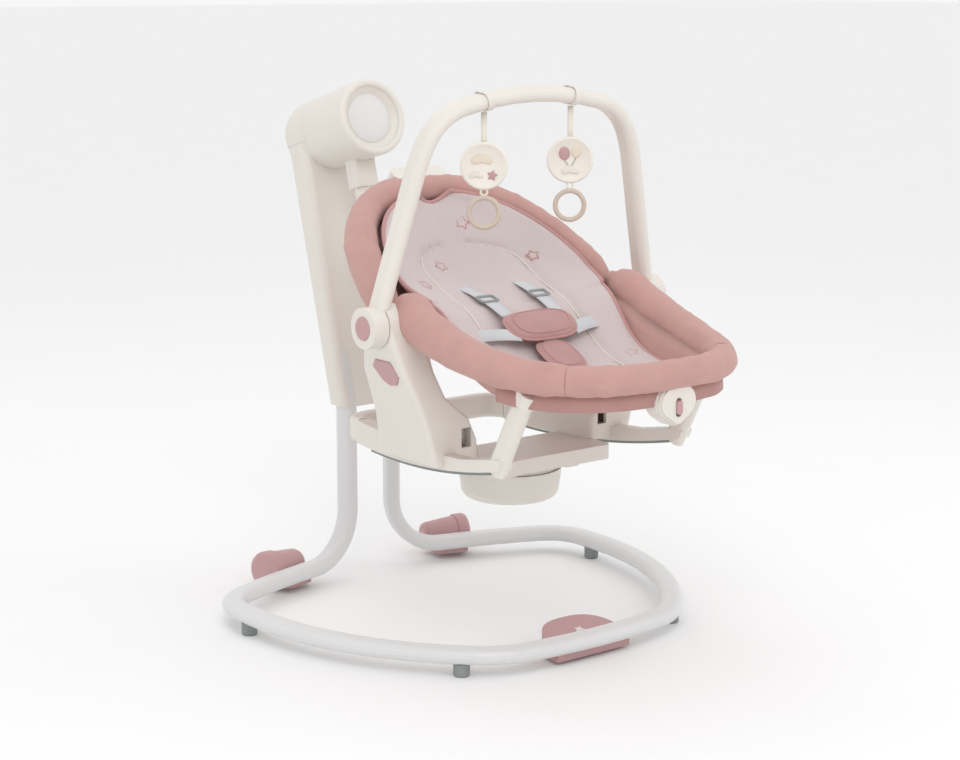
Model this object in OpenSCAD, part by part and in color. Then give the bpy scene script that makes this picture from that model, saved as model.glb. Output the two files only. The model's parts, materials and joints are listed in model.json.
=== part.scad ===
// Baby swing: a bouncer seat that docks on a swinging arm hung from a powered stand.
// +Z is up, the baby's feet point to -Y and X = 0 is the plane of symmetry.
// Heights start at the floor. Lengths along Y are laid out from the stand's two uprights.

/* [Stand] */
// Thickness of the flat-oval steel tube
tube_t = 25; // [20:1:26]
// Width of the flat-oval steel tube
tube_w = 38; // [34:1:40]
// Wall of the steel tube
tube_wall = 1.5; // [1:0.1:2]
// Height of the rubber feet under the floor tube
foot_h = 19.5; // [15:0.5:25]
// Half the distance between the two uprights
upright_x = 46.5; // [45:0.5:46.5]
// Height of the joint between the lower and the upper upright tube
upright_joint_z = 193; // [180:1:210]

/* [Tower] */
// Distance up the leaning tower to the swing axle
head_up = 448; // [444:1:452]
// Radius of the horn at its rim
horn_r = 65; // [62:1:67]
// Backward lean of the tower in degrees
tower_lean = 15; // [14:0.5:16]

/* [Seat] */
// Height of the recline and toy bar pivots
pivot_z = 513; // [510:1:516]
// Angle of the backrest above the horizontal in degrees
back_angle = 34; // [30:1:38]
// Half width of the backrest bolster's core
back_half_w = 214; // [208:1:216]
// Length of the backrest from the pivot to the core at the head end
back_len = 300; // [290:1:304]
// Half width of the front bolster's core
front_half_w = 217; // [212:1:219]
// Length of the front bolster's core ahead of the pivot
front_len = 372; // [362:1:380]

/* [Rocker] */
// Radius of the curved runners
runner_r = 1265; // [1200:5:1330]
// Height of the runners' lowest point above the floor
runner_z = 283; // [282:0.5:286]

/* [Toy bar] */
// Width of the toy bar's section
bar_w = 24; // [20:1:26]
// Forward lean of the toy bar in degrees
bar_lean = 6.5; // [4:0.5:9]
// Diameter of the toy discs
disc_d = 80; // [70:1:84]

/* [Hidden] */
$fn = 64;
gap = 0.3;                      // clearance between neighbouring parts

pivot_y = -408;                 // recline and toy bar pivots, from the uprights
hub_y = -394;                   // vertical axis on which the seat turns

white = [0.93, 0.92, 0.89];
tube_white = [0.9, 0.9, 0.9];
pink = [0.77, 0.62, 0.60];
pad_pink = [0.76, 0.58, 0.59];
grey = [0.6, 0.62, 0.61];
mauve = [0.80, 0.75, 0.75];
steel = [0.7, 0.71, 0.73];
beige = [0.82, 0.76, 0.69];

post_y = 306.5;                 // from the origin to the line of the uprights
tube_z = foot_h + tube_t / 2;   // centre of the floor tube

// ---------- shared shapes ----------

module at_post() { translate([0, post_y, 0]) children(); }

module on_side(side) { mirror([side < 0 ? 1 : 0, 0, 0]) children(); }

module flat_oval(w, t) {
    for (s = [-1, 1]) translate([s * (w - t) / 2, 0]) circle(d = t);
    square([w - t, t], center = true);
}

module tube_section(w, t, wall) {
    difference() {
        flat_oval(w, t);
        flat_oval(w - 2 * wall, t - 2 * wall);
    }
}

module rounded_rect(w, h, r) {
    square([w - 2 * r, h], center = true);
    square([w, h - 2 * r], center = true);
    for (x = [-1, 1], y = [-1, 1]) translate([x * (w / 2 - r), y * (h / 2 - r)]) circle(r);
}

// Follows a flat path that starts at the origin along +X and turns left (+Y).
// Each step is [radius, degrees] for an arc, or [length, 0] for a straight stretch.
module run(path, i = 0) {
    if (i < len(path)) {
        size = path[i][0];
        turn = path[i][1];
        if (turn == 0) {
            rotate([90, 0, 90]) linear_extrude(size) children();
            translate([size, 0, 0]) run(path, i + 1) children();
        } else {
            translate([0, size, 0]) rotate([0, 0, -90])
                rotate_extrude(angle = turn, $fn = 96) translate([size, 0]) mirror([1, 0]) children();
            translate([size * sin(turn), size * (1 - cos(turn)), 0])
                rotate([0, 0, turn]) run(path, i + 1) children();
        }
    }
}

// End of a path for run(): [x, y, heading]
function path_end(path, i = 0, x = 0, y = 0, h = 0) =
    i == len(path) ? [x, y, h] :
    path[i][1] == 0 ? path_end(path, i + 1, x + path[i][0] * cos(h), y + path[i][0] * sin(h), h) :
    path_end(path, i + 1,
             x + path[i][0] * (sin(h + path[i][1]) - sin(h)),
             y + path[i][0] * (cos(h) - cos(h + path[i][1])),
             h + path[i][1]);

// Points along a path for run(), one every few degrees of an arc
function path_points(path, i = 0, x = 0, y = 0, h = 0) =
    i == len(path) ? [[x, y]] :
    let (r = path[i][0], turn = path[i][1], next = path_end([path[i]], 0, x, y, h),
         n = turn == 0 ? 1 : max(3, ceil(turn / 6)))
    concat([for (k = [0 : n - 1]) turn == 0
                ? [x + r * k / n * cos(h), y + r * k / n * sin(h)]
                : [x + r * (sin(h + turn * k / n) - sin(h)), y + r * (cos(h) - cos(h + turn * k / n))]],
           path_points(path, i + 1, next[0], next[1], next[2]));

function unit(v) = v / norm(v);
function signed_pow(v, e) = sign(v) * pow(abs(v), e);

// A solid through a row of closed outlines with equally many points
module loft(rings) {
    n = len(rings);
    m = len(rings[0]);
    walls = [for (i = [0 : n - 2], j = [0 : m - 1])
        [i * m + j, i * m + (j + 1) % m, (i + 1) * m + (j + 1) % m, (i + 1) * m + j]];
    start = [for (j = [m - 1 : -1 : 0]) j];
    stop = [for (j = [0 : m - 1]) (n - 1) * m + j];
    polyhedron([for (r = rings) each r], concat(walls, [start, stop]), convexity = 6);
}

// The wall between two such rows of outlines
module hollow_loft(outer, inner) {
    m = len(outer[0]);
    core = len(outer) * m;
    stop = core - m;
    walls = [for (i = [0 : m : stop - 1], j = [0 : m - 1])
        let (k = (j + 1) % m, b = i + j, c = i + k) each
            [[b, c, c + m, b + m], [core + c, core + b, core + b + m, core + c + m]]];
    ends = [for (j = [0 : m - 1])
        let (k = (j + 1) % m) each
            [[k, j, core + j, core + k], [stop + j, stop + k, core + stop + k, core + stop + j]]];
    polyhedron([for (r = concat(outer, inner)) each r], concat(walls, ends), convexity = 6);
}

// Outlines around a list of points. sections[i] is a list of [side, up] offsets at point i.
function around(points, sections, up) =
    let (last = len(points) - 1)
    [for (i = [0 : last])
        let (t = unit(points[min(i + 1, last)] - points[max(i - 1, 0)]),
             side = unit(cross(t, up)), top = cross(side, t))
        [for (q = sections[i]) points[i] + side * q[0] + top * q[1]]];

// A closed tube around a list of points
module sweep(points, sections, up) { loft(around(points, sections, up)); }

// Level rectangle with round corners, clockwise from above
function rounded_outline(x0, x1, y0, y1, r, z) = [
    for (c = [[x1 - r, y1 - r, 90], [x1 - r, y0 + r, 0], [x0 + r, y0 + r, -90], [x0 + r, y1 - r, -180]], k = [0 : 4])
        [c[0] + r * cos(c[2] - 22.5 * k), c[1] + r * sin(c[2] - 22.5 * k), z]];

// Outline of a flat oval, longer along its first axis and then turned by an angle
function oval_points(w, t, turn) =
    [for (side = [-1, 1], a = [-90 : 22.5 : 90])
        let (x = side * ((w - t) / 2 + t / 2 * cos(a)), y = side * t / 2 * sin(a))
        [x * cos(turn) - y * sin(turn), x * sin(turn) + y * cos(turn)]];

function oval(rx, ry, sides) = [for (j = [0 : sides - 1]) [rx * cos(j * 360 / sides), ry * sin(j * 360 / sides)]];

// ---------- stand ----------

floor_half = [[900, 8], [130, 34], [492, 48], [40, 0], [75, 65]];
floor_front_y = -603;
floor_corner = path_end(floor_half);
joint_run = 140;                // tube from the rear corner to the joint under the rear pad
bend_r = 90;
rear_heading = 165;
rear_turn = rear_heading - floor_corner[2];
sweep_r = joint_run / (2 * sin(rear_turn / 2));
joint_stub = 2;                 // straight end of the front loop at that joint
front_path = concat(floor_half, [[sweep_r, rear_turn], [joint_stub, 0]]);
joint_at = path_end(front_path);
joint_x = joint_at[0];
joint_y = floor_front_y + joint_at[1];
rear_straight = (joint_x - upright_x) / abs(cos(rear_heading)) - bend_r;
upright_twist = 180 - rear_heading;

spigot_h = 62;
snap_z = 146;
snap_r = 4;
upright_bend_z = 295;
neck_r = 70;
neck_len = 80;

floor_side = path_points(front_path);
floor_line = concat([for (k = [len(floor_side) - 1 : -1 : 1]) [-floor_side[k][0], floor_side[k][1], 0]],
                    [for (p = floor_side) [p[0], p[1], 0]]);

function floor_rings(w, t) = around(floor_line, [for (p = floor_line) oval_points(w, t, 0)], [0, 0, 1]);

// Room for the loop in whatever clips round it
module floor_room() {
    translate([0, floor_front_y, tube_z])
        for (s = [-1, 1]) on_side(s) run(front_path) flat_oval(tube_w + 1.6, tube_t + 0.2);
}

module base_front_tube() {
    color(tube_white) at_post() translate([0, floor_front_y, tube_z])
        hollow_loft(floor_rings(tube_w, tube_t), floor_rings(tube_w - 2 * tube_wall, tube_t - 2 * tube_wall));
}

module at_joint() { translate([joint_x, joint_y, tube_z]) rotate([0, 0, rear_heading]) children(); }

upright_foot = [upright_x, joint_y + (joint_x - upright_x) * tan(upright_twist), 0];

// Frame of one upright: +Z up the tube, -Y towards its rear edge
module at_upright() { translate(upright_foot) rotate([0, 0, rear_heading]) children(); }

module snap_hole() {
    at_upright() translate([0, 0, snap_z]) rotate([90, 0, 0]) cylinder(r = snap_r + gap, h = tube_w);
}

module base_rear_tube() {
    difference() {
        at_joint() rotate([90, 0, 0])
            run([[rear_straight, 0], [bend_r, 90], [upright_joint_z - tube_z - bend_r, 0]])
                rotate(90) tube_section(tube_w, tube_t, tube_wall);
        snap_hole();
    }
}

module base_rear_tubes() { color(tube_white) at_post() for (s = [-1, 1]) on_side(s) base_rear_tube(); }

// Line of an upper upright from a height in it: straight up, then bent back into the tower
function upright_line(from_z) =
    [for (p = path_points([[upright_bend_z - from_z, 0], [neck_r, tower_lean], [neck_len, 0]]))
        upright_foot + [0, p[1], from_z + p[0]]];

module upright_run(w, t, from_z) {
    line = upright_line(from_z);
    sweep(line, [for (p = line) oval_points(w, t, upright_twist)], [-1, 0, 0]);
}

// The same with a narrower end that plugs into the tube below
module upright_stepped(w, t, from_z, end_w, end_t, end_z) {
    line = concat([upright_foot + [0, 0, end_z], upright_foot + [0, 0, from_z]], upright_line(from_z + 0.1));
    sweep(line, [for (k = [0 : len(line) - 1])
        k < 2 ? oval_points(end_w, end_t, upright_twist) : oval_points(w, t, upright_twist)], [-1, 0, 0]);
}

module upright_tube() {
    bore = 2 * tube_wall;
    plug_w = tube_w - bore - gap;
    plug_t = tube_t - bore - gap;
    plug_end = upright_joint_z - spigot_h;
    difference() {
        upright_stepped(tube_w, tube_t, upright_joint_z, plug_w, plug_t, plug_end);
        upright_stepped(tube_w - bore, tube_t - bore, upright_joint_z + 10, plug_w - bore, plug_t - bore, plug_end - 1);
        snap_hole();
    }
}

module upright_tubes() { color(tube_white) at_post() for (s = [-1, 1]) on_side(s) upright_tube(); }

// Spring button that locks the two halves of an upright together
module snap_button() {
    stem = 8.6;
    at_upright() translate([0, -11.4, snap_z]) rotate([90, 0, 0]) {
        cylinder(r = snap_r + 1.5, h = 2);
        cylinder(r = snap_r, h = stem);
        translate([0, 0, stem]) cylinder(r1 = snap_r, r2 = snap_r - 1.5, h = 1.2);
    }
}

module snap_button_left() { color(steel) at_post() on_side(-1) snap_button(); }
module snap_button_right() { color(steel) at_post() on_side(1) snap_button(); }

foot_r = 12.5;
foot_paths = [[[900, 8], [130, 34], [492, 48], [14, 0]], [[900, 8], [130, 34], [492, 2.9]]];

module rubber_feet() {
    color(grey) at_post() difference() {
        for (s = [-1, 1], p = foot_paths) on_side(s) {
            place = path_end(p);
            translate([place[0], floor_front_y + place[1], 0]) {
                cylinder(r1 = foot_r - 1.5, r2 = foot_r, h = 3);
                translate([0, 0, 3]) cylinder(r = foot_r, h = foot_h);
            }
        }
        floor_room();
    }
}

shoe_len = 84;
shoe_r = [33, 23];              // radii at the outer and the inner end
shoe_in = 20;                   // the shoe's middle, inward of the tube joint
shoe_back = 50;                 // the shoe's axis behind the tube's
shoe_collar = 22;
sole_z = 9;
sole_t = 11;

// Round tapered shoe behind the tube joint, on a sole that reaches under the tube
module rear_foot_pad() {
    taper = (shoe_r[0] - shoe_r[1]) / shoe_len;
    difference() {
        at_joint() translate([shoe_in, -shoe_back, -tube_z]) {
            translate([-shoe_len / 2, 0, shoe_r[0] + 1]) rotate([0, 90, 0]) rotate_extrude() polygon([
                [0, 0], [shoe_r[0] - 7, 0], [shoe_r[0] - 2, 2], [shoe_r[0], 7], [shoe_r[0] - 1, shoe_collar],
                [shoe_r[0] - 3.5, shoe_collar + 0.5], [shoe_r[0] - 3.5, shoe_collar + 2],
                [shoe_r[0] - taper * shoe_collar - 1, shoe_collar + 3.5],
                [shoe_r[1], shoe_len - 8], [shoe_r[1] - 3, shoe_len - 2], [shoe_r[1] - 8, shoe_len], [0, shoe_len]]);
            translate([0, 18, sole_z]) linear_extrude(sole_t) rounded_rect(64, 60, 13);
        }
        at_joint() rotate([90, 0, 90]) linear_extrude(3 * shoe_len, center = true)
            flat_oval(tube_w + 2.4, tube_t + 0.2);
    }
}

module rear_foot_pads() { color(pad_pink) at_post() for (s = [-1, 1]) on_side(s) rear_foot_pad(); }

toe_w = 144;                    // half-round toe plate behind the front of the floor tube
toe_depth = 76;
toe_floor = 5;
toe_front = 29;
toe_rise = 14;

module front_foot_pad() {
    color(pad_pink) at_post() difference() {
        translate([0, floor_front_y + 2, toe_floor]) linear_extrude(60)
            polygon([for (a = [0 : 7.5 : 180])
                [toe_w / 2 * signed_pow(cos(a), 0.75), toe_depth * pow(sin(a), 0.75)]]);
        translate([-toe_w, floor_front_y - 20, toe_front - 9]) rotate([toe_rise, 0, 0]) cube([2 * toe_w, 150, 80]);
        floor_room();
        translate([-toe_w, floor_front_y - tube_w, tube_z - 4]) cube([2 * toe_w, tube_w, tube_t]);
    }
}

// ---------- tower ----------

tower_w = 126.4;
tower_t = 50;
tower_corner = 15;
tower_wall = 2;
tower_y = 7.5;
tower_z = 318;
tower_floor_z = 301;
drum_r = 63.5;                  // round head at the top of the tower
drum_front = -37;
drum_straight = 47;
drum_dome = 38;
cap_split = 14;                 // the cap's seam below the swing axle
shell_split = 6;
panel_z = 342;                  // control panel, measured up the tower
door_z = 40;                    // battery door, measured up the tower
door_w = 84;
door_h = 160;

// Frame of the tower: +Z up the lean, +Y out of its rear face
module at_tower() { translate([0, tower_y, tower_z]) rotate([-tower_lean, 0, 0]) children(); }

// Frame of the swing axle: +Z to the rear along the axle, +Y down the tower
module about_axle() { at_tower() translate([0, 0, head_up]) rotate([-90, 0, 0]) children(); }

module drum(inset) {
    r = drum_r - inset;
    d = drum_dome - inset;
    translate([0, 0, drum_front + inset]) rotate_extrude($fn = 96) polygon(concat(
        [[0, 0], [r, 0]],
        [for (a = [0 : 9 : 90]) [r * pow(cos(a), 0.75), drum_straight - inset + d * pow(sin(a), 0.75)]]));
}

module tower_solid(inset) {
    difference() {
        union() {
            at_tower() translate([0, 0, -40]) linear_extrude(head_up + 40)
                rounded_rect(tower_w - 2 * inset, tower_t - 2 * inset, tower_corner - inset);
            about_axle() drum(inset);
        }
        translate([-100, -200, 0]) cube([200, 400, tower_floor_z + 1.6 * inset]);
    }
}

module tower_shell() {
    difference() {
        tower_solid(0);
        tower_solid(tower_wall);
        for (s = [-1, 1]) on_side(s) upright_run(tube_w + 0.4, tube_t + 0.4, upright_joint_z);
        about_axle() translate([0, 0, drum_front - 1]) cylinder(r = 26, h = tower_wall + 2);
    }
}

module above_split(grow) { at_tower() translate([-100, -200, head_up - cap_split + grow]) cube([200, 400, 200]); }
module tower_rear_half() { at_tower() translate([-100, shell_split, -100]) cube([200, 200, 800]); }

module head_rear_cap() {
    color(white) at_post() intersection() {
        tower_shell();
        above_split(gap);
    }
}

module tower_front_shell() {
    color(white) at_post() difference() {
        tower_shell();
        above_split(0);
        tower_rear_half();
    }
}

module door_cut(grow) {
    at_tower() translate([0, tower_t / 2 - tower_wall - 1, door_z - grow]) rotate([-90, 0, 0])
        linear_extrude(tower_wall + 3) translate([0, -door_h / 2 - grow]) rounded_rect(door_w + 2 * grow, door_h + 2 * grow, 8);
}

panel_w = 78;
panel_h = 58;
button_r = 6;
button_pitch = 21;
button_row = [-1, 0, 1];

module at_panel() { at_tower() translate([0, tower_t / 2, panel_z]) rotate([-90, 0, 0]) children(); }

module tower_rear_shell() {
    color(white) at_post() difference() {
        intersection() {
            tower_shell();
            tower_rear_half();
        }
        above_split(0);
        door_cut(0.4);
        at_panel() translate([0, 0, -5]) linear_extrude(8) rounded_rect(panel_w + 0.6, panel_h + 0.6, 12);
        at_tower() translate([0, tower_t / 2 - 8, 14]) rotate([-90, 0, 0]) cylinder(r = 5.2, h = 12);
    }
}

module battery_door() {
    color(white) at_post() intersection() {
        door_cut(0);
        at_tower() translate([-100, tower_t / 2 - tower_wall, 0]) cube([200, tower_wall, 400]);
    }
}

module control_panel() {
    color([0.86, 0.86, 0.85]) at_post() at_panel() difference() {
        translate([0, 0, -4]) linear_extrude(5) rounded_rect(panel_w, panel_h, 12);
        for (k = button_row) translate([k * button_pitch, 0, -5]) cylinder(r = button_r + 0.25, h = 10);
        translate([0, 20, 0.6]) linear_extrude(2) rounded_rect(40, 6, 2.9);
    }
}

module panel_button(k) {
    at_panel() translate([button_row[k] * button_pitch, 0, -6]) {
        cylinder(r = button_r, h = 7.6);
        translate([0, 0, 7.6]) cylinder(r1 = button_r, r2 = button_r - 0.8, h = 0.8);
    }
}

module speed_button() { color(pink) at_post() panel_button(0); }
module music_button() { color(grey) at_post() panel_button(1); }
module volume_button() { color(grey) at_post() panel_button(2); }

module power_inlet() {
    color([0.2, 0.2, 0.2]) at_post() at_tower() translate([0, tower_t / 2 - 14, 14]) rotate([-90, 0, 0]) difference() {
        union() {
            cylinder(r = 5, h = 14);
            cylinder(r = 7, h = 8);
        }
        translate([0, 0, 3]) cylinder(r = 2.8, h = 12);
    }
}

cell_r = 17;
cell_len = 61;

module batteries() {
    color([0.35, 0.36, 0.38]) at_post() at_tower() for (x = [-1, 1], k = [0, 1])
        translate([x * (cell_r + 1), 0, door_z + 16 + k * (cell_len + 4)]) {
            cylinder(r = cell_r, h = cell_len - 2);
            translate([0, 0, cell_len - 2]) cylinder(r = 5, h = 1.6);
        }
}

module circuit_board() {
    color([0.16, 0.42, 0.28]) at_post() at_tower() translate([0, 4, 230]) {
        translate([-38, 0, 0]) cube([76, 1.6, 66]);
        for (k = [-1 : 1]) translate([k * 22 - 7, 1.4, 16]) cube([14, 3, 14]);
        translate([-30, 1.4, 44]) cube([60, 6, 8]);
    }
}

// ---------- drive in the head ----------

shaft_r = 8;
shaft_front = -126;
shaft_rear = 8;
bush_r = 14;
bush_w = 6;
frame_at = [-20, -2];
frame_t = 2.5;
sector_teeth = 42;
pinion_teeth = 10;
gear_module = 1.5;
gear_y = -13;
gear_w = 5;
motor_drop = gear_module * (sector_teeth + pinion_teeth) / 2;

// Spur gear with slim straight-sided teeth; a tooth points along +X after turning it by phase
module gear(teeth, w, phase) {
    r = gear_module * teeth / 2;
    step = 360 / teeth;
    linear_extrude(w) polygon([for (k = [0 : teeth - 1])
        for (q = [[-0.42, -1.3], [-0.2, -1.3], [-0.09, 0.8], [0.09, 0.8], [0.2, -1.3], [0.42, -1.3]])
            (r + q[1] * gear_module) * [cos(phase + (k + q[0]) * step), sin(phase + (k + q[0]) * step)]]);
}

// Two plates joined by pillars; each carries a bush for the shaft
module gear_frame() {
    color(steel) at_post() about_axle() {
        for (k = [0, 1]) translate([0, 0, frame_at[k]]) difference() {
            union() {
                linear_extrude(frame_t) hull() {
                    circle(20);
                    translate([0, motor_drop]) circle(17);
                }
                translate([0, 0, (k - 1) * (bush_w - frame_t)]) cylinder(r = bush_r, h = bush_w);
            }
            translate([0, 0, -bush_w]) cylinder(r = shaft_r + 0.05, h = 3 * bush_w);
            translate([0, motor_drop, -1]) cylinder(r = 4.5, h = frame_t + 2);
        }
        for (x = [-1, 1]) translate([x * 13, motor_drop + 7, frame_at[0] + 1])
            cylinder(r = 2, h = frame_at[1] - frame_at[0]);
    }
}

module main_shaft() {
    color(steel) at_post() about_axle() translate([0, 0, shaft_front]) difference() {
        cylinder(r = shaft_r, h = shaft_rear - shaft_front);
        translate([0, 0, -1]) cylinder(r = 4.5, h = shaft_rear - shaft_front + 2);
    }
}

module drive_gear() {
    color([0.9, 0.9, 0.86]) at_post() about_axle() translate([0, 0, gear_y]) difference() {
        gear(sector_teeth, gear_w, 90);
        translate([0, 0, -1]) cylinder(r = shaft_r, h = gear_w + 2);
    }
}

module motor_pinion() {
    color([0.85, 0.7, 0.4]) at_post() about_axle() translate([0, motor_drop, gear_y]) {
        gear(pinion_teeth, gear_w, 90 + 180 / pinion_teeth);
        translate([0, 0, gear_w]) cylinder(r = 3, h = 14);
    }
}

module drive_motor() {
    color(steel) at_post() about_axle() translate([0, motor_drop, frame_at[1] + frame_t]) difference() {
        cylinder(r = 12, h = 19);
        translate([0, 0, -1]) cylinder(r = 3.4, h = 14);
    }
}

// ---------- swinging head and arm ----------

rim = -150.5;                   // centre of the rounded lip, along the axle
lip = 6.5;
lens_r = 42;
lens_seat = rim + 7;

// Domed window in the horn's mouth
module head_lens() {
    color([0.9, 0.91, 0.91]) at_post() about_axle() rotate_extrude($fn = 96) polygon(concat(
        [for (a = [0 : 10 : 90]) [lens_r * sin(a), lens_seat - 6 * cos(a)]],
        [for (a = [90 : -10 : 0]) [(lens_r - 1.5) * sin(a), lens_seat + 0.1 - 4.5 * cos(a)]]));
}

arm_w = 36;
arm_t = 25;
socket_y = -95.8;               // the arm's axis, ahead of the tower's
socket_w = 40;
socket_t = 31;
socket_bottom = 339;
arm_top = 420;
arm_path = [[480, 0], [60, 90 - tower_lean], [188, 0]];

module arm_run(w, t) {
    at_tower() translate([0, socket_y, arm_top]) mirror([0, 1, 0]) rotate([0, 90, 0])
        run(arm_path) rotate(90) flat_oval(w, t);
}

// Hollow horn that turns with the arm, and the block in it that grips the arm's top end
module head_barrel() {
    horn_wall = 3;
    color(white) at_post() difference() {
        union() {
            about_axle() rotate_extrude($fn = 96) polygon(concat(
                [[26, drum_front - gap], [drum_r, drum_front - gap], [horn_r - 0.3, rim + 50]],
                [for (a = [0 : 15 : 180]) [horn_r - lip + lip * cos(a), rim - lip * sin(a)]],
                [[lens_r + gap, lens_seat], [lens_r - 2.5, lens_seat + 0.3], [lens_r - 2.5, lens_seat + 3],
                 [horn_r - horn_wall - 2, lens_seat + 6], [drum_r - horn_wall, drum_front - horn_wall],
                 [26, drum_front - horn_wall]]));
            at_tower() translate([-socket_w / 2, socket_y - socket_t / 2, socket_bottom])
                cube([socket_w, socket_t, head_up - socket_bottom]);
            about_axle() translate([0, 0, socket_y - socket_t / 2]) cylinder(r = 24, h = socket_t);
        }
        about_axle() translate([0, 0, shaft_front]) cylinder(r = shaft_r, h = 60);
        arm_run(arm_w + gap, arm_t + gap);
    }
}

module swing_arm() {
    line = [for (p = path_points(arm_path)) [0, socket_y - p[1], arm_top - p[0]]];
    color(white) at_post() at_tower()
        sweep(line, [for (p = line) oval_points(arm_w, arm_t, 90)], [-1, 0, 0]);
}

// ---------- hub under the seat ----------

hub_r = 82;
hub_floor = 213;
hub_top = 262;
post_r = 12;

module at_hub() { translate([0, hub_y, 0]) children(); }

module hub_bowl() {
    color(white) at_post() difference() {
        at_hub() rotate_extrude($fn = 96) difference() {
            union() {
                translate([0, hub_floor]) square([60, hub_top - hub_floor]);
                translate([0, hub_floor + 18]) polygon([[0, 0], [hub_r - 4, 0], [hub_r, hub_top - hub_floor - 18], [0, hub_top - hub_floor - 18]]);
                translate([60, hub_floor + 18]) circle(18);
            }
            polygon([[post_r + 4, hub_floor + 3], [58, hub_floor + 3], [70, hub_floor + 9], [hub_r - 7, hub_floor + 20],
                     [hub_r - 3, hub_top + 1], [post_r + 4, hub_top + 1]]);
            translate([-20, 0]) square([20, 400]);
        }
        at_hub() translate([0, 0, hub_floor + 6]) cylinder(r = post_r + 0.05, h = 100);
        arm_run(arm_w + 0.6, arm_t + 0.6);
    }
}

dock_x = 62;

module turntable() {
    color(white) at_post() at_hub() difference() {
        union() {
            translate([0, 0, hub_top + gap]) cylinder(r = hub_r - 4, h = tray_bottom - hub_top - 2 * gap);
            for (s = [-1, 1]) translate([s * dock_x - 12, -80, hub_top + 4]) cube([24, 60, 26]);
        }
        translate([0, 0, hub_top - 1]) cylinder(r = post_r, h = 8);
    }
}

module hub_spindle() {
    color(steel) at_post() at_hub() translate([0, 0, hub_floor + 7]) cylinder(r = post_r, h = hub_top - hub_floor - 1);
}

// ---------- rocker ----------

runner_t = 24;
strip_t = 4.5;
runner_low_y = -300;
runner_splay = 4;
hoop_y = -163;
hoop_h = 40;
hoop_z = 306;
corner_x = 112;
corner_r = 38;
corner_y = hoop_y - corner_r;
runner_front_y = -600;

function runner_bottom(y) = runner_z + pow(y - runner_low_y, 2) / (2 * runner_r);

module rear_hoop() {
    translate([0, hoop_y, hoop_z]) for (s = [-1, 1]) on_side(s)
        mirror([0, 1, 0]) run([[corner_x, 0], [corner_r, 90 + runner_splay]]) rounded_rect(runner_t, hoop_h, 8);
}

// Frame at the rear end of the right runner: +X runs forward along it, +Y is outward
module at_runner() {
    translate([corner_x + corner_r * cos(runner_splay), corner_y - corner_r * sin(runner_splay), 0])
        rotate([0, 0, -90 + runner_splay]) children();
}

runner_len = 400;
runner_step = 25;
strut_lean = 28;

module runner_outline(grow) {
    y0 = corner_y;
    bottom = [for (u = [0 : runner_step : runner_len]) [u, runner_bottom(y0 - u) - grow]];
    polygon(concat(bottom, [[runner_len + 6, runner_bottom(y0 - runner_len) + 12], [runner_len, 336],
                            [300, 318], [180, 311], [90, 318], [0, hoop_z + hoop_h / 2 - 2]]));
}

module runner_bar() {
    at_runner() rotate([90, 0, 0]) linear_extrude(runner_t, center = true) runner_outline(0);
}

module grip_strip() {
    at_runner() rotate([90, 0, 0]) linear_extrude(runner_t - 6, center = true) difference() {
        translate([0, -strip_t]) runner_outline(0);
        translate([-10, 0]) square([50, 600]);
        translate([runner_len - 24, 0]) square([50, 600]);
        offset(delta = 0.05) runner_outline(0);
    }
}

module grip_strips() { color(grey) at_post() for (s = [-1, 1]) on_side(s) grip_strip(); }

strut_foot = [176, -588, 322];
strut_head = [181, -652, 443];

// Strut from the front of the runner up to the bolster, with a collar at its top
module front_strut(grow) {
    along = strut_head - strut_foot;
    lean = atan2(-along[1], along[2]);
    translate(strut_foot) rotate([lean, 0, 0]) translate([0, 0, -10]) {
        linear_extrude(norm(along) + 8) rotate(90) flat_oval(34 + 2 * grow, 22 + 2 * grow);
        translate([0, 0, norm(along) - 12 - grow]) linear_extrude(22 + 2 * grow)
            rotate(90) flat_oval(38 + 2 * grow, 26 + 2 * grow);
    }
}

module rocker_frame() {
    color(white) at_post() {
        rear_hoop();
        for (s = [-1, 1]) on_side(s) {
            runner_bar();
            front_strut(0);
        }
    }
}

tray_front = -503;
tray_rear = -380;
tray_half_w = 118;
tray_top = 300;
tray_bottom = 277;
tray_wall = 3;

module rocker_tray() {
    color(white) at_post() translate([0, (tray_front + tray_rear) / 2, tray_bottom]) difference() {
        linear_extrude(tray_top - tray_bottom) rounded_rect(2 * tray_half_w, tray_rear - tray_front, 12);
        translate([0, 0, -1]) linear_extrude(tray_top - tray_bottom - tray_wall + 1)
            rounded_rect(2 * (tray_half_w - tray_wall), tray_rear - tray_front - 2 * tray_wall, 10);
    }
}

// The runner with a little clearance, to notch what crosses it
module runner_notch() {
    at_runner() rotate([90, 0, 0]) linear_extrude(runner_t + 0.4, center = true) runner_outline(0.2);
}

eye_r = 13;                     // eyes of the seat's back tube, inside the bosses
eye_x = [214, 234];
boss_x = [236, 262];
boss_r = 34;
pin_r = 6;

// Level cuts through the side bracket: height, inner x, outer x, front y, rear y
bracket_cuts = [
    [298, 108, 194, -458, -300],
    [332, 113, 203, -458, -316],
    [366, 128, 213, -458, -324],
    [402, 170, 227, -456, -330],
    [442, 188, 245, -452, -340],
    [480, 196, 258, -446, -360]];
bracket_corner = 9;

function bracket_ring(c) = rounded_outline(c[1], c[2], c[3], c[4], bracket_corner, c[0]);

release_at = [243, -404, 441];
bracket_slope = 21;             // lean of the bracket's outer face

// Frame on the bracket's outer face: +X to the rear, +Y up, +Z outward
module at_release() { translate(release_at) rotate([90, 0, 90]) rotate([bracket_slope, 0, 0]) children(); }

module release_outline(grow) {
    polygon([[18 + grow, 21 + grow], [-20 - grow, 21 + grow], [-30 - grow, -3], [-18, -17 - grow],
             [-1, -20 - grow], [14 + grow, -13 - grow], [29 + grow, 9]]);
}

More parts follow.
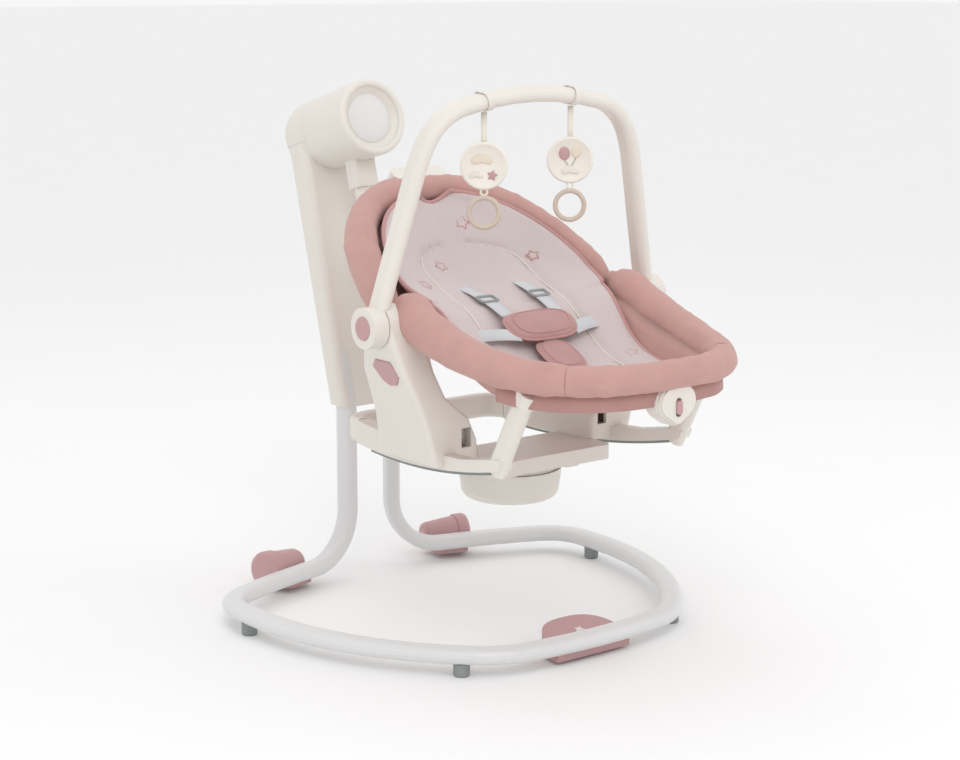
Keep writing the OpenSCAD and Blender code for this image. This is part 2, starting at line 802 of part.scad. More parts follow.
// Top of the bracket, which runs up into the pivot boss
module bracket_head(grow) {
    top = bracket_cuts[len(bracket_cuts) - 1];
    hull() {
        loft([bracket_ring(top), bracket_ring(top + [1, 0, 0, 0, 0])]);
        bracket_boss(grow);
    }
}

module side_bracket() {
    difference() {
        union() {
            loft([for (c = bracket_cuts) bracket_ring(c)]);
            bracket_head(0);
        }
        loft([rounded_outline(124, 190, -452, -312, 5, 304), rounded_outline(140, 206, -452, -330, 5, 366),
              rounded_outline(200, 238, -446, -350, 5, 446)]);
        translate([boss_x[0] - 5, pivot_y, pivot_z]) rotate([0, 90, 0]) cylinder(r = pin_r, h = 60);
        translate([150, pivot_y - 70, pivot_z - eye_r - 1]) cube([eye_x[1] + 1 - 150, 140, 80]);
        runner_notch();
        translate([0, tray_front - 1, 0]) cube([tray_half_w + 0.2, tray_rear - tray_front + 1.2, tray_top + 0.2]);
        translate([127, -470, 322]) cube([18, 30, 30]);
        at_release() translate([0, 0, -14]) linear_extrude(40) release_outline(0.4);
    }
}

module side_brackets() { color(white) at_post() for (s = [-1, 1]) on_side(s) side_bracket(); }

module release_button() {
    at_release() translate([0, 0, -6]) linear_extrude(9) release_outline(0);
}

module release_button_left() { color(pad_pink) at_post() on_side(-1) release_button(); }
module release_button_right() { color(pad_pink) at_post() on_side(1) release_button(); }

module pivot_pins() {
    color(steel) at_post() for (s = [-1, 1]) on_side(s)
        translate([222, pivot_y, pivot_z]) rotate([0, 90, 0]) cylinder(r = pin_r, h = 54);
}

// ---------- toy bar ----------

bar_half = [[550, 14], [95, 50], [240, 12], [230, 0]];
bar_h = path_end(bar_half)[1];
bar_d = 36;
bar_boss = [263, 289];
bar_boss_r = 31;
toy_x = [-93, 75];             // where the two toys hang along the bar
bar_button_r = 17.5;

module at_bar() { translate([0, pivot_y, pivot_z]) rotate([bar_lean, 0, 0]) children(); }

module at_bar_pivot() { translate([bar_boss[0], pivot_y, pivot_z]) rotate([0, 90, 0]) children(); }

bar_side = path_points(bar_half);
bar_line = concat([for (k = [len(bar_side) - 1 : -1 : 1]) [-bar_side[k][0], 0, bar_h - bar_side[k][1]]],
                  [for (p = bar_side) [p[0], 0, bar_h - p[1]]]);

module bar_run(w, t) {
    at_bar() sweep(bar_line, [for (p = bar_line) oval_points(w, t, 0)], [0, 0, 1]);
}

module toy_bar() {
    color(white) at_post() difference() {
        union() {
            bar_run(bar_d, bar_w);
            for (s = [-1, 1]) on_side(s) at_bar_pivot() cylinder(r = bar_boss_r, h = bar_boss[1] - bar_boss[0]);
        }
        for (s = [-1, 1]) on_side(s) {
            at_bar_pivot() translate([0, 0, -1]) cylinder(r = pin_r + 0.05, h = 15);
            at_bar_pivot() translate([0, 0, 18]) cylinder(r = bar_button_r + gap, h = 20);
            bracket_boss(0.6);
        }
    }
}

module toy_bar_button() {
    at_bar_pivot() translate([0, 0, 22]) {
        cylinder(r = bar_button_r, h = 5.4);
        translate([0, 0, 5.4]) cylinder(r1 = bar_button_r, r2 = bar_button_r - 2.5, h = 1.2);
    }
}

module toy_bar_button_left() { color(pad_pink) at_post() on_side(-1) toy_bar_button(); }
module toy_bar_button_right() { color(pad_pink) at_post() on_side(1) toy_bar_button(); }

bar_top_y = pivot_y - bar_h * sin(bar_lean);
bar_top_z = pivot_z + bar_h * cos(bar_lean);
toy_turn = 35;                  // the toys hang turned about their straps
disc_z = 744;
disc_t = 10;
ring_z = 674;
ring_r = 22.5;
ring_t = 8;
loop_z = ring_z + ring_r;
strap_w = 9;

module at_toy(x, z) { translate([x, bar_top_y, z]) rotate([0, 0, -toy_turn]) children(); }

// Snap loop round the bar, from which the toy's strap hangs
module toy_clip(x) {
    at_bar() translate([x, 0, bar_h - bar_drop(x)]) rotate([0, asin(x / bar_half[0][0]), 0]) rotate([90, 0, 90])
        linear_extrude(10, center = true) difference() {
            flat_oval(bar_d + 5, bar_w + 5);
            flat_oval(bar_d + 1.4, bar_w + 1.4);
        }
}

module toy_clips() { color(white) at_post() for (x = toy_x) toy_clip(x); }

// How far the arch has dropped at a distance x from its middle
function bar_drop(x) = bar_half[0][0] - sqrt(pow(bar_half[0][0], 2) - x * x);
function strap_top(x) = bar_top_z - bar_drop(abs(x) + 5) - bar_w / 2 - 3.5;

// Disc on a strap that hangs from the clip, with an eye under it for the ring
module toy_disc(x) {
    at_toy(x, 0) {
        translate([-strap_w / 2, -0.8, disc_z]) cube([strap_w, 1.6, strap_top(x) - disc_z]);
        translate([0, disc_t / 2, disc_z]) rotate([90, 0, 0]) cylinder(r = disc_d / 2, h = disc_t);
        translate([0, 0, loop_z]) rotate([0, 90, 0]) difference() {
            union() {
                cylinder(r = ring_t, h = 4, center = true);
                translate([-ring_t - 2, -3, -2]) cube([ring_t, 6, 4]);
            }
            cylinder(r = ring_t / 2 + 0.5, h = 6, center = true);
        }
    }
}

module toy_disc_left() { color([0.93, 0.9, 0.84]) at_post() toy_disc(toy_x[0]); }
module toy_disc_right() { color([0.93, 0.9, 0.84]) at_post() toy_disc(toy_x[1]); }

module toy_ring(x) {
    at_toy(x, ring_z) rotate([90, 0, 0]) rotate_extrude($fn = 48) translate([ring_r, 0]) circle(ring_t / 2, $fn = 24);
}

module toy_ring_left() { color(beige) at_post() toy_ring(toy_x[0]); }
module toy_ring_right() { color(beige) at_post() toy_ring(toy_x[1]); }

// ---------- seat: frame tubes and bolsters ----------

front_power = 2.7;
back_power = 2.3;
front_y = -396;                 // where the front bolster's curve starts
front_rise = [541, -176, 101];  // height of the front bolster's core along its length
front_r = [32, 21];
front_sides = 18;
ring_angles = [for (a = [-90 : 5 : 90]) a];
back_angles = [for (a = [-86 : 4 : 86]) a];
front_angles = [for (a = [-85 : 5 : 85]) a];
// Rounded rear end of the front bolster, beside the pivot: x, y, z, half width, half height
front_tail = [
    [215, -440, 524, 31, 31],
    [212, -424, 531, 30, 31],
    [209, -410, 537, 25, 27],
    [207, -403, 540, 15, 17]];
unit_at = [0, -748, 424];       // back of the vibration unit
unit_d = 30;
back_r = [25, 31];
back_sink = -8;                 // the back bolster's core below the pivot, square to the backrest

function front_share(a) = pow(abs(cos(a)), 2 / front_power);
function front_point(a) =
    let (s = front_share(a))
    [front_half_w * signed_pow(sin(a), 2 / front_power), front_y - front_len * s,
     front_rise[0] + front_rise[1] * s + front_rise[2] * s * s];
function front_radius(a) = front_r[0] + (front_r[1] - front_r[0]) * front_share(a);
function tail_point(side, k) = [side * front_tail[k][0], front_tail[k][1], front_tail[k][2]];

tail_out = [for (k = [0 : len(front_tail) - 1]) k];
tail_in = [for (k = [len(front_tail) - 1 : -1 : 0]) k];

module bracket_boss(grow) {
    translate([boss_x[0] - grow, pivot_y, pivot_z]) rotate([0, 90, 0])
        cylinder(r = boss_r + grow, h = boss_x[1] - boss_x[0] + 2 * grow);
}

module front_bolster() {
    points = concat([for (k = tail_in) tail_point(-1, k)],
                    [for (a = front_angles) front_point(a)],
                    [for (k = tail_out) tail_point(1, k)]);
    sections = concat([for (k = tail_in) oval(front_tail[k][3], front_tail[k][4], front_sides)],
                      [for (a = front_angles) oval(front_radius(a), front_radius(a), front_sides)],
                      [for (k = tail_out) oval(front_tail[k][3], front_tail[k][4], front_sides)]);
    color(pink) at_post() difference() {
        sweep(points, sections, [0, 0, 1]);
        for (s = [-1, 1]) on_side(s) {
            bracket_head(gap);
            front_strut(gap);
            translate([eye_x[0] - 30, pivot_y, pivot_z]) rotate([0, 90, 0]) cylinder(r = eye_r + 1, h = 60);
        }
        translate(unit_at) rotate([90, 0, 0]) linear_extrude(unit_d) unit_outline(2 + gap);
    }
}

front_tube_r = 8;

module seat_front_tube() {
    points = concat([tail_point(-1, 0)], [for (a = front_angles) front_point(a)], [tail_point(1, 0)]);
    color(steel) at_post() {
        sweep(points, [for (p = points) oval(front_tube_r, front_tube_r, 12)], [0, 0, 1]);
    }
}

// Frame of the backrest: origin on the pivot line, +Y up the backrest, +Z out of its front
module at_back() { translate([0, pivot_y, pivot_z]) rotate([back_angle, 0, 0]) children(); }

function back_point(a) =
    [back_half_w * signed_pow(sin(a), 2 / back_power), 3 + back_len * pow(abs(cos(a)), 2 / back_power), back_sink];

handle_s = 319;                 // recline handle, measured up the backrest
handle_w = 106;
handle_l = 30;
handle_n = [-8, 20];

module back_bolster() {
    points = [for (a = back_angles) back_point(a)];
    taper = [for (a = back_angles) min(1, 0.55 + (90 - abs(a)) / 50)];
    color(pink) at_post() at_back() difference() {
        sweep(points, [for (k = taper) oval(back_r[0] * k, back_r[1] * k, front_sides)], [0, 0, 1]);
        translate([0, handle_s, handle_n[0] - 40]) linear_extrude(100)
            rounded_rect(handle_w + 2 * gap, handle_l + 2 * gap, 14);
    }
}

back_tube_r = 7;

module seat_back_tube() {
    points = [for (a = ring_angles) back_point(a)];
    color(steel) at_post() difference() {
        union() {
            at_back() sweep(points, [for (p = points) oval(back_tube_r, back_tube_r, 12)], [0, 0, 1]);
            for (s = [-1, 1]) on_side(s)
                translate([eye_x[0], pivot_y, pivot_z]) rotate([0, 90, 0]) cylinder(r = eye_r, h = eye_x[1] - eye_x[0]);
        }
        for (s = [-1, 1]) on_side(s)
            translate([eye_x[0] - 20, pivot_y, pivot_z]) rotate([0, 90, 0]) cylinder(r = pin_r + 0.05, h = 50);
    }
}

// ---------- seat: fabric parts ----------

columns = [for (q = [-1 : 0.125 : 1]) q];

// A padded sheet between two grids of points, row by row
module quilt(top, bottom) {
    rows = len(top);
    cols = len(top[0]);
    n = rows * cols;
    points = concat([for (r = top) for (p = r) p], [for (r = bottom) for (p = r) p]);
    upper = [for (i = [0 : rows - 2], j = [0 : cols - 2])
        each [[i * cols + j, i * cols + j + 1, (i + 1) * cols + j + 1], [i * cols + j, (i + 1) * cols + j + 1, (i + 1) * cols + j]]];
    lower = [for (f = upper) [n + f[2], n + f[1], n + f[0]]];
    edge = concat([for (j = [0 : cols - 2]) [j, j + 1]],
                  [for (i = [0 : rows - 2]) [i * cols + cols - 1, (i + 1) * cols + cols - 1]],
                  [for (j = [cols - 2 : -1 : 0]) [(rows - 1) * cols + j + 1, (rows - 1) * cols + j]],
                  [for (i = [rows - 2 : -1 : 0]) [(i + 1) * cols, i * cols]]);
    sides = [for (e = edge) [e[1], e[0], n + e[0], n + e[1]]];
    polyhedron(points, concat(upper, lower, sides), convexity = 6);
}

pad_half_w = 188;
pad_hip_w = 166;
pad_len = 268;
pad_t = 14;

function pad_width(s) =
    pad_half_w * pow(1 - pow(s / pad_len, back_power), 1 / back_power)
    - (pad_half_w - pad_hip_w) * pow(max(0, 1 - s / 110), 2);
// The insert stands proud at its edge, most of all at the hips, and sags in the middle
function pad_edge(s) = 20 + 14 * max(0, 1 - s / 60);
function pad_mid(s) = 2 - 24 * sin(180 * s / pad_len);
function pad_face(q, s) = pad_mid(s) + (pad_edge(s) - pad_mid(s)) * q * q;

module back_pad() {
    rows = [for (s = [18 : 20 : 238]) s, 254, 264];
    color(mauve) at_post() at_back() quilt(
        [for (s = rows) [for (q = columns) [q * pad_width(s), s, pad_face(q, s)]]],
        [for (s = rows) [for (q = columns) [q * pad_width(s), s, pad_face(q, s) - pad_t]]]);
}

// The insert's face along the middle from the hips to the knees: y, z, half width, lift of the edge
seat_rows = [
    [-414, 512, 170, 30],
    [-440, 490, 166, 40],
    [-466, 467, 163, 38],
    [-494, 449, 160, 26],
    [-530, 435, 157, 18],
    [-580, 428, 150, 14],
    [-630, 430, 138, 12],
    [-680, 440, 118, 8],
    [-704, 450, 104, 4]];

module seat_pad() {
    color(mauve) at_post() quilt(
        [for (r = seat_rows) [for (q = columns) [q * r[2], r[0], r[1] + r[3] * q * q]]],
        [for (r = seat_rows) [for (q = columns) [q * r[2], r[0], r[1] + r[3] * q * q - pad_t]]]);
}

sling_t = 5;
sling_y = [-424, -450, -480, -515, -560, -610, -660, -705, -715];
sling_z = [474, 450, 425, 407, 399, 399, 409, 425, 434];

function ring_half_w(y) = front_half_w * pow(1 - pow((front_y - y) / front_len, front_power), 1 / front_power);
function ring_z(y) = let (s = (front_y - y) / front_len) front_rise[0] + front_rise[1] * s + front_rise[2] * s * s;
function ring_r(y) = front_r[0] + (front_r[1] - front_r[0]) * (front_y - y) / front_len;
function sling_half_w(y) = ring_half_w(y) - ring_r(y) - 6;
function sling_face(k, q) = sling_z[k] + (ring_z(sling_y[k]) - 8 - sling_z[k]) * pow(abs(q), 8);

skirt_drop = 23;
skirt_t = 4;

// Band of fabric that hangs under the front bolster
module skirt() {
    points = [for (a = [-60 : 5 : 60]) front_point(a) - [0, 0, front_radius(a) + skirt_drop / 2 + gap]];
    sweep(points, [for (p = points)
        [[-skirt_t, -skirt_drop], [skirt_t, -skirt_drop], [skirt_t, skirt_drop], [-skirt_t, skirt_drop]] / 2], [0, 0, 1]);
}

module seat_sling() {
    steps = [for (k = [0 : len(sling_y) - 1]) k];
    color(pink) at_post() {
        quilt(
            [for (k = steps) [for (q = columns) [q * sling_half_w(sling_y[k]), sling_y[k], sling_face(k, q)]]],
            [for (k = steps) [for (q = columns)
                [q * sling_half_w(sling_y[k]), sling_y[k], sling_face(k, q) - sling_t]]]);
        difference() {
            skirt();
            for (s = [-1, 1]) on_side(s) front_strut(gap);
            translate(unit_at) rotate([90, 0, 0]) linear_extrude(unit_d) unit_outline(2 + gap);
        }
    }
}

harness_x = 56;
harness_w = 24;
harness_t = 2;

// Shoulder straps, from their slots in the backrest down to the chest pad
module harness_straps() {
    color(grey) at_post() at_back() for (s = [-1, 1]) on_side(s)
        translate([harness_x - harness_w / 2, 14, 15.5]) rotate([-22, 0, 0]) cube([harness_w, 70, harness_t]);
}

module chest_pad() {
    color(pad_pink) at_post() translate([2, -458, 504]) rotate([0, 0, -4]) rotate([36, 0, 0])
        linear_extrude(11, center = true) polygon([for (a = [0 : 15 : 345])
            [66 * signed_pow(cos(a), 0.6), (sin(a) > 0 ? 24 : 36) * signed_pow(sin(a), 0.8)]]);
}

module crotch_pad() {
    color(pad_pink) at_post() translate([0, -518, 457]) rotate([27, 0, 0])
        linear_extrude(10, center = true) rounded_rect(66, 76, 24);
}

// Grip at the head end: a cap clipped over the back tube, with the recline lever inside
module handle_housing() {
    grip = [for (a = [-40 : 4 : 40]) back_point(a)];
    color(white) at_post() at_back() difference() {
        translate([0, handle_s, handle_n[0]]) difference() {
            linear_extrude(handle_n[1] - handle_n[0]) rounded_rect(handle_w, handle_l, 14);
            translate([0, 3, -1]) linear_extrude(handle_n[1] - handle_n[0] - 4) rounded_rect(84, 20, 7);
        }
        sweep(grip, [for (p = grip) oval(back_tube_r + gap, back_tube_r + gap, 12)], [0, 0, 1]);
    }
}

module recline_lever() {
    color(grey) at_post() at_back() translate([0, handle_s + 6, handle_n[0] - 8])
        linear_extrude(18) rounded_rect(80, 11, 5);
}

// ---------- vibration unit ----------

module unit_outline(grow) {
    offset(r = grow) hull() {
        translate([0, 2]) scale([1.28, 1]) circle(28);
        translate([0, -14]) circle(17);
    }
}

module vibration_housing() {
    color(white) at_post() translate(unit_at) rotate([90, 0, 0]) difference() {
        union() {
            linear_extrude(unit_d - 8) unit_outline(2);
            translate([0, 0, unit_d - 8]) linear_extrude(5) unit_outline(0);
            translate([0, 0, unit_d - 3]) linear_extrude(3) unit_outline(-3);
        }
        translate([0, 0, -1]) linear_extrude(unit_d - 4.8) unit_outline(-2);
        translate([0, -5, 0]) linear_extrude(60) rounded_rect(11, 28, 5);
    }
}

module vibration_switch() {
    color(pad_pink) at_post() translate(unit_at) rotate([90, 0, 0]) translate([0, -5, unit_d - 8]) {
        linear_extrude(11) rounded_rect(10, 20, 4.5);
        linear_extrude(2) square([22, 30], center = true);
    }
}

module vibration_motor() {
    color(steel) at_post() translate(unit_at) rotate([0, 90, 0]) translate([-14, -9, -12]) {
        cylinder(r = 6, h = 24);
        translate([0, 0, 26]) difference() {
            cylinder(r = 5, h = 5);
            translate([0, -10, -1]) cube([20, 10, 10]);
        }
        cylinder(r = 1, h = 31);
    }
}

base_front_tube();
base_rear_tubes();
upright_tubes();
snap_button_left();
snap_button_right();
rubber_feet();
rear_foot_pads();
front_foot_pad();
tower_front_shell();
tower_rear_shell();
head_rear_cap();
battery_door();
batteries();
circuit_board();
control_panel();
speed_button();
music_button();
volume_button();
power_inlet();
gear_frame();
drive_motor();
motor_pinion();
drive_gear();
main_shaft();
head_barrel();
head_lens();
swing_arm();
hub_bowl();
hub_spindle();
turntable();
rocker_frame();
grip_strips();
rocker_tray();
side_brackets();
release_button_left();
release_button_right();
pivot_pins();
toy_bar();
toy_bar_button_left();
toy_bar_button_right();
toy_clips();
toy_disc_left();
toy_disc_right();
toy_ring_left();
toy_ring_right();
front_bolster();
seat_front_tube();
back_bolster();
seat_back_tube();
back_pad();
seat_pad();
seat_sling();
harness_straps();
chest_pad();
crotch_pad();
handle_housing();
recline_lever();
vibration_housing();
vibration_switch();
vibration_motor();
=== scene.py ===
# Baby swing: soft covers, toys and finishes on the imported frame.
import bpy
import json
import math
import numpy as np
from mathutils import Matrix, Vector, noise


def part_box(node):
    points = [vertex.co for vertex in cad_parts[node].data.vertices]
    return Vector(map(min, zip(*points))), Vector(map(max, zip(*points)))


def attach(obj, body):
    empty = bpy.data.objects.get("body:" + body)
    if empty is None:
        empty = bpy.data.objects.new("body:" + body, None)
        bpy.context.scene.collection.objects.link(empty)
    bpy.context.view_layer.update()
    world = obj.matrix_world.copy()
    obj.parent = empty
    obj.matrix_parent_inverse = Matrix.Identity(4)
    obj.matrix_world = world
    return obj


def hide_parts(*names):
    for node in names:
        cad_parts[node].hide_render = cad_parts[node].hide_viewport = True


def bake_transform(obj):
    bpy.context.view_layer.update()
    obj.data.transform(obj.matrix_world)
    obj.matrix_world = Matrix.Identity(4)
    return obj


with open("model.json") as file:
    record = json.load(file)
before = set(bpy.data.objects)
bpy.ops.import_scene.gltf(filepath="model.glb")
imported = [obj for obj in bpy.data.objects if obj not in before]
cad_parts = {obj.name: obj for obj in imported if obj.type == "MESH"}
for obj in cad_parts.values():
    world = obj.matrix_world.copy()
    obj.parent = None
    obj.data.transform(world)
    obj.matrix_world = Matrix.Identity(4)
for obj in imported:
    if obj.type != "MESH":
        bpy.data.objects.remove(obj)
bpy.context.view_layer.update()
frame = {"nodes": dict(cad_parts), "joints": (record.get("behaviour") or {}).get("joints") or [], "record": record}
RECORD = frame["record"]
JOINTS = {j["name"]: j for j in frame["joints"]}

PIVOT = np.array(JOINTS["recline"]["pos_m"])        # the backrest's hinge
TOWER_Y = PIVOT[1] + 0.408                          # the uprights' plane
LEAN = math.radians(34)                             # backrest from level
BACK_UP = np.array([0, math.cos(LEAN), math.sin(LEAN)])
BACK_OUT = np.array([0, -math.sin(LEAN), math.cos(LEAN)])


# ---------- places ----------

def seat_point(x, y, z):
    """Millimetres from the tower's foot to metres in the row frame."""
    return np.array([x / 1000, y / 1000 + TOWER_Y, z / 1000])


def back_point(x, s, n):
    """x across, s up the backrest from its hinge and n out of its face, in millimetres."""
    return PIVOT + np.array([x, 0, 0]) / 1000 + BACK_UP * s / 1000 + BACK_OUT * n / 1000


def around(count):
    """Evenly spaced angles of a full turn."""
    return np.linspace(0, 2 * math.pi, count, endpoint=False)


def unit(v):
    return v / max(np.linalg.norm(v), 1e-9)


def power(v, e):
    return math.copysign(abs(v) ** e, v)


def lerp_rows(rows, count):
    """Smoothly resampled rows of numbers (Catmull-Rom)."""
    rows = np.array(rows, float)
    out = []
    for t in np.linspace(0, len(rows) - 1, count):
        i = min(int(t), len(rows) - 2)
        f = t - i
        p = [rows[min(max(i + k, 0), len(rows) - 1)] for k in (-1, 0, 1, 2)]
        out.append(0.5 * (2 * p[1] + (p[2] - p[0]) * f + (2 * p[0] - 5 * p[1] + 4 * p[2] - p[3]) * f * f
                          + (3 * p[1] - p[0] - 3 * p[2] + p[3]) * f ** 3))
    return np.array(out)


# ---------- mesh makers ----------

def make_mesh(name, points, faces, material, smooth=True):
    mesh = bpy.data.meshes.new(name)
    mesh.from_pydata([tuple(map(float, p)) for p in points], [], faces)
    mesh.validate()
    mesh.update()
    piece = bpy.data.objects.new(name, mesh)
    bpy.context.scene.collection.objects.link(piece)
    mesh.materials.append(MATERIALS[material])
    for face in mesh.polygons:
        face.use_smooth = smooth
    return piece


def loft(name, rings, material, closed=False, smooth=True):
    """A skin over rings with equally many points; closed joins the last ring to the first."""
    rings = [np.array(r) for r in rings]
    n = len(rings)
    m = len(rings[0])
    faces = []
    for i in range(n if closed else n - 1):
        for j in range(m):
            k = (j + 1) % m
            e = (i + 1) % n
            faces.append((i * m + j, i * m + k, e * m + k, e * m + j))
    if not closed:
        faces.append(tuple(range(m - 1, -1, -1)))
        faces.append(tuple((n - 1) * m + j for j in range(m)))
    return make_mesh(name, np.concatenate(rings), faces, material, smooth)


def frames_along(points, up, closed=False):
    """Side and top directions at each point of a line."""
    points = np.array(points, float)
    n = len(points)
    out = []
    for i in range(n):
        if closed:
            t = points[(i + 1) % n] - points[i - 1]
        else:
            t = points[min(i + 1, n - 1)] - points[max(i - 1, 0)]
        u = np.array(up[i] if np.ndim(up) > 1 else up, float)
        side = unit(np.cross(unit(t), u))
        out.append((side, unit(np.cross(side, unit(t)))))
    return out


def tube(name, points, radius, material, up=(0, 0, 1), closed=False, sides=12, round_ends=True):
    """A round cord or a soft roll; radius is one number, (side, top) or one of these for each point."""
    points = np.array(points, float)
    radii = radius if np.ndim(radius) else [radius] * len(points)
    frames = frames_along(points, up, closed)
    rings = []
    for p, r, (side, top) in zip(points, radii, frames):
        a, b = (r, r) if np.ndim(r) == 0 else r
        rings.append([p + side * a * math.cos(q) + top * b * math.sin(q)
                      for q in around(sides)])
    if not closed and round_ends:
        for end, inner in ((0, 1), (-1, -2)):
            out = unit(points[end] - points[inner])
            grow = float(np.mean(np.ravel(radii[end])))
            rim = np.array(rings[end]) - points[end]
            caps = [points[end] + out * grow * math.sin(q) + rim * math.cos(q)
                    for q in np.radians([35, 65, 85])]
            rings = caps[::-1] + rings if end == 0 else rings + caps
    return loft(name, rings, material, closed)


def band(name, points, width, thick, material, across, end=0.0):
    """Flat webbing along a line; across is the direction of its width at each point."""
    points = np.array(points, float)
    rings = []
    for i, p in enumerate(points):
        t = unit(points[min(i + 1, len(points) - 1)] - points[max(i - 1, 0)])
        side = unit(np.array(across[i] if np.ndim(across) > 1 else across, float))
        top = unit(np.cross(side, t))
        half = width / 2
        rings.append([p + side * a * half + top * b * thick / 2
                      for a, b in ((-1, -0.4), (-0.96, -1), (0.96, -1), (1, -0.4),
                                   (1, 0.4), (0.96, 1), (-0.96, 1), (-1, 0.4))])
    return loft(name, rings, material)


def double_skin(name, upper, lower, material):
    """A closed skin between two grids of points, and the closed line round its rim."""
    n, m = upper.shape[:2]
    size = n * m
    faces = []
    for i in range(n - 1):
        for j in range(m - 1):
            a = i * m + j
            faces.append((a, a + m, a + m + 1, a + 1))
            faces.append((size + a, size + a + 1, size + a + m + 1, size + a + m))
    rim = [i * m for i in range(n)] + [(n - 1) * m + j for j in range(1, m)]
    rim += [i * m + m - 1 for i in range(n - 2, -1, -1)] + [j for j in range(m - 2, 0, -1)]
    for a, b in zip(rim, rim[1:] + rim[:1]):
        faces.append((b, a, size + a, size + b))
    points = np.concatenate([upper.reshape(-1, 3), lower.reshape(-1, 3)])
    edge = [(points[a] + points[size + a]) / 2 for a in rim]
    return make_mesh(name, points, faces, material), edge


def join(name, pieces):
    """One object from several, kept with their own materials."""
    bpy.ops.object.select_all(action="DESELECT")
    for piece in pieces:
        piece.select_set(True)
    bpy.context.view_layer.objects.active = pieces[0]
    if len(pieces) > 1:
        bpy.ops.object.join()
    pieces[0].name = name
    return pieces[0]


# ---------- materials ----------

MATERIALS = {}


def srgb(*channels):
    """A linear colour from 0 to 255 screen values."""
    return tuple(((c / 255 + 0.055) / 1.055) ** 2.4 for c in channels) + (1,)


class Look:
    """A material under construction, in object space."""

    def __init__(self, name):
        self.material = bpy.data.materials.new(name)
        self.material.use_nodes = True
        self.tree = self.material.node_tree
        self.shader = self.tree.nodes["Principled BSDF"]
        self.place = self.node("ShaderNodeTexCoord").outputs["Object"]
        MATERIALS[name] = self.material

    def node(self, kind, **values):
        node = self.tree.nodes.new(kind)
        for key, value in values.items():
            if key in node.inputs:
                node.inputs[key].default_value = value
            else:
                setattr(node, key, value)
        return node

    def link(self, out, socket):
        self.tree.links.new(out, socket)

    def noise(self, scale, detail=3.0):
        node = self.node("ShaderNodeTexNoise", Scale=scale, Detail=detail)
        self.link(self.place, node.inputs["Vector"])
        return node.outputs["Fac"]

    def tint(self, colour, spread, scale):
        """Base colour that varies a little over the surface."""
        ramp = self.node("ShaderNodeValToRGB")
        dark = tuple(c * (1 - spread) for c in colour[:3]) + (1,)
        light = tuple(min(1, c * (1 + spread)) for c in colour[:3]) + (1,)
        ramp.color_ramp.elements[0].position = 0.3
        ramp.color_ramp.elements[1].position = 0.7
        ramp.color_ramp.elements[0].color = dark
        ramp.color_ramp.elements[1].color = light
        self.link(self.noise(scale), ramp.inputs["Fac"])
        self.link(ramp.outputs["Color"], self.shader.inputs["Base Color"])

    def bump(self, height, distance, strength=1.0):
        node = self.node("ShaderNodeBump", Strength=strength, Distance=distance)
        self.link(height, node.inputs["Height"])
        self.link(node.outputs["Normal"], self.shader.inputs["Normal"])
        return node

    def rough(self, low, high, scale):
        spread = self.node("ShaderNodeMapRange")
        spread.inputs["To Min"].default_value = low
        spread.inputs["To Max"].default_value = high
        self.link(self.noise(scale), spread.inputs["Value"])
        self.link(spread.outputs["Result"], self.shader.inputs["Roughness"])

    def math(self, operation, a, b):
        node = self.node("ShaderNodeMath", operation=operation)
        for socket, value in zip(node.inputs, (a, b)):
            if isinstance(value, (int, float)):
                socket.default_value = value
            else:
                self.link(value, socket)
        return node.outputs[0]

    def threads(self, per_metre):
        """Woven height: crossing waves along X and up the slope."""
        split = self.node("ShaderNodeSeparateXYZ")
        self.link(self.place, split.inputs[0])
        wave = 2 * math.pi * per_metre
        along = self.math("MULTIPLY", split.outputs["X"], wave)
        rise = self.math("MULTIPLY", self.math("ADD", split.outputs["Z"], split.outputs["Y"]), wave)
        warp = self.math("SINE", along, 0)
        weft = self.math("SINE", rise, 0)
        return self.math("MULTIPLY", warp, weft)


def fabric(name, colour, spread=0.05, threads=900.0, bump=0.00006, sheen=0.15, fleck=0.0):
    look = Look(name)
    look.tint(colour, spread, 30 if fleck == 0 else 900)
    look.shader.inputs["Roughness"].default_value = 0.92
    look.shader.inputs["Sheen Weight"].default_value = sheen
    look.shader.inputs["Sheen Roughness"].default_value = 0.5
    weave = look.math("ADD", look.threads(threads), look.math("MULTIPLY", look.noise(260.0), 1.6))
    look.bump(weave, bump)


def plastic(name, colour, roughness=0.42, spread=0.015, grain=0.00005, scale=1800.0):
    look = Look(name)
    look.tint(colour, spread, 6)
    look.rough(roughness - 0.05, roughness + 0.06, 40)
    look.bump(look.noise(scale), grain)


def metal(name, colour, roughness):
    look = Look(name)
    look.tint(colour, 0.04, 60)
    look.shader.inputs["Metallic"].default_value = 1
    look.rough(roughness - 0.06, roughness + 0.08, 300)
    look.bump(look.noise(2500.0), 0.00003)


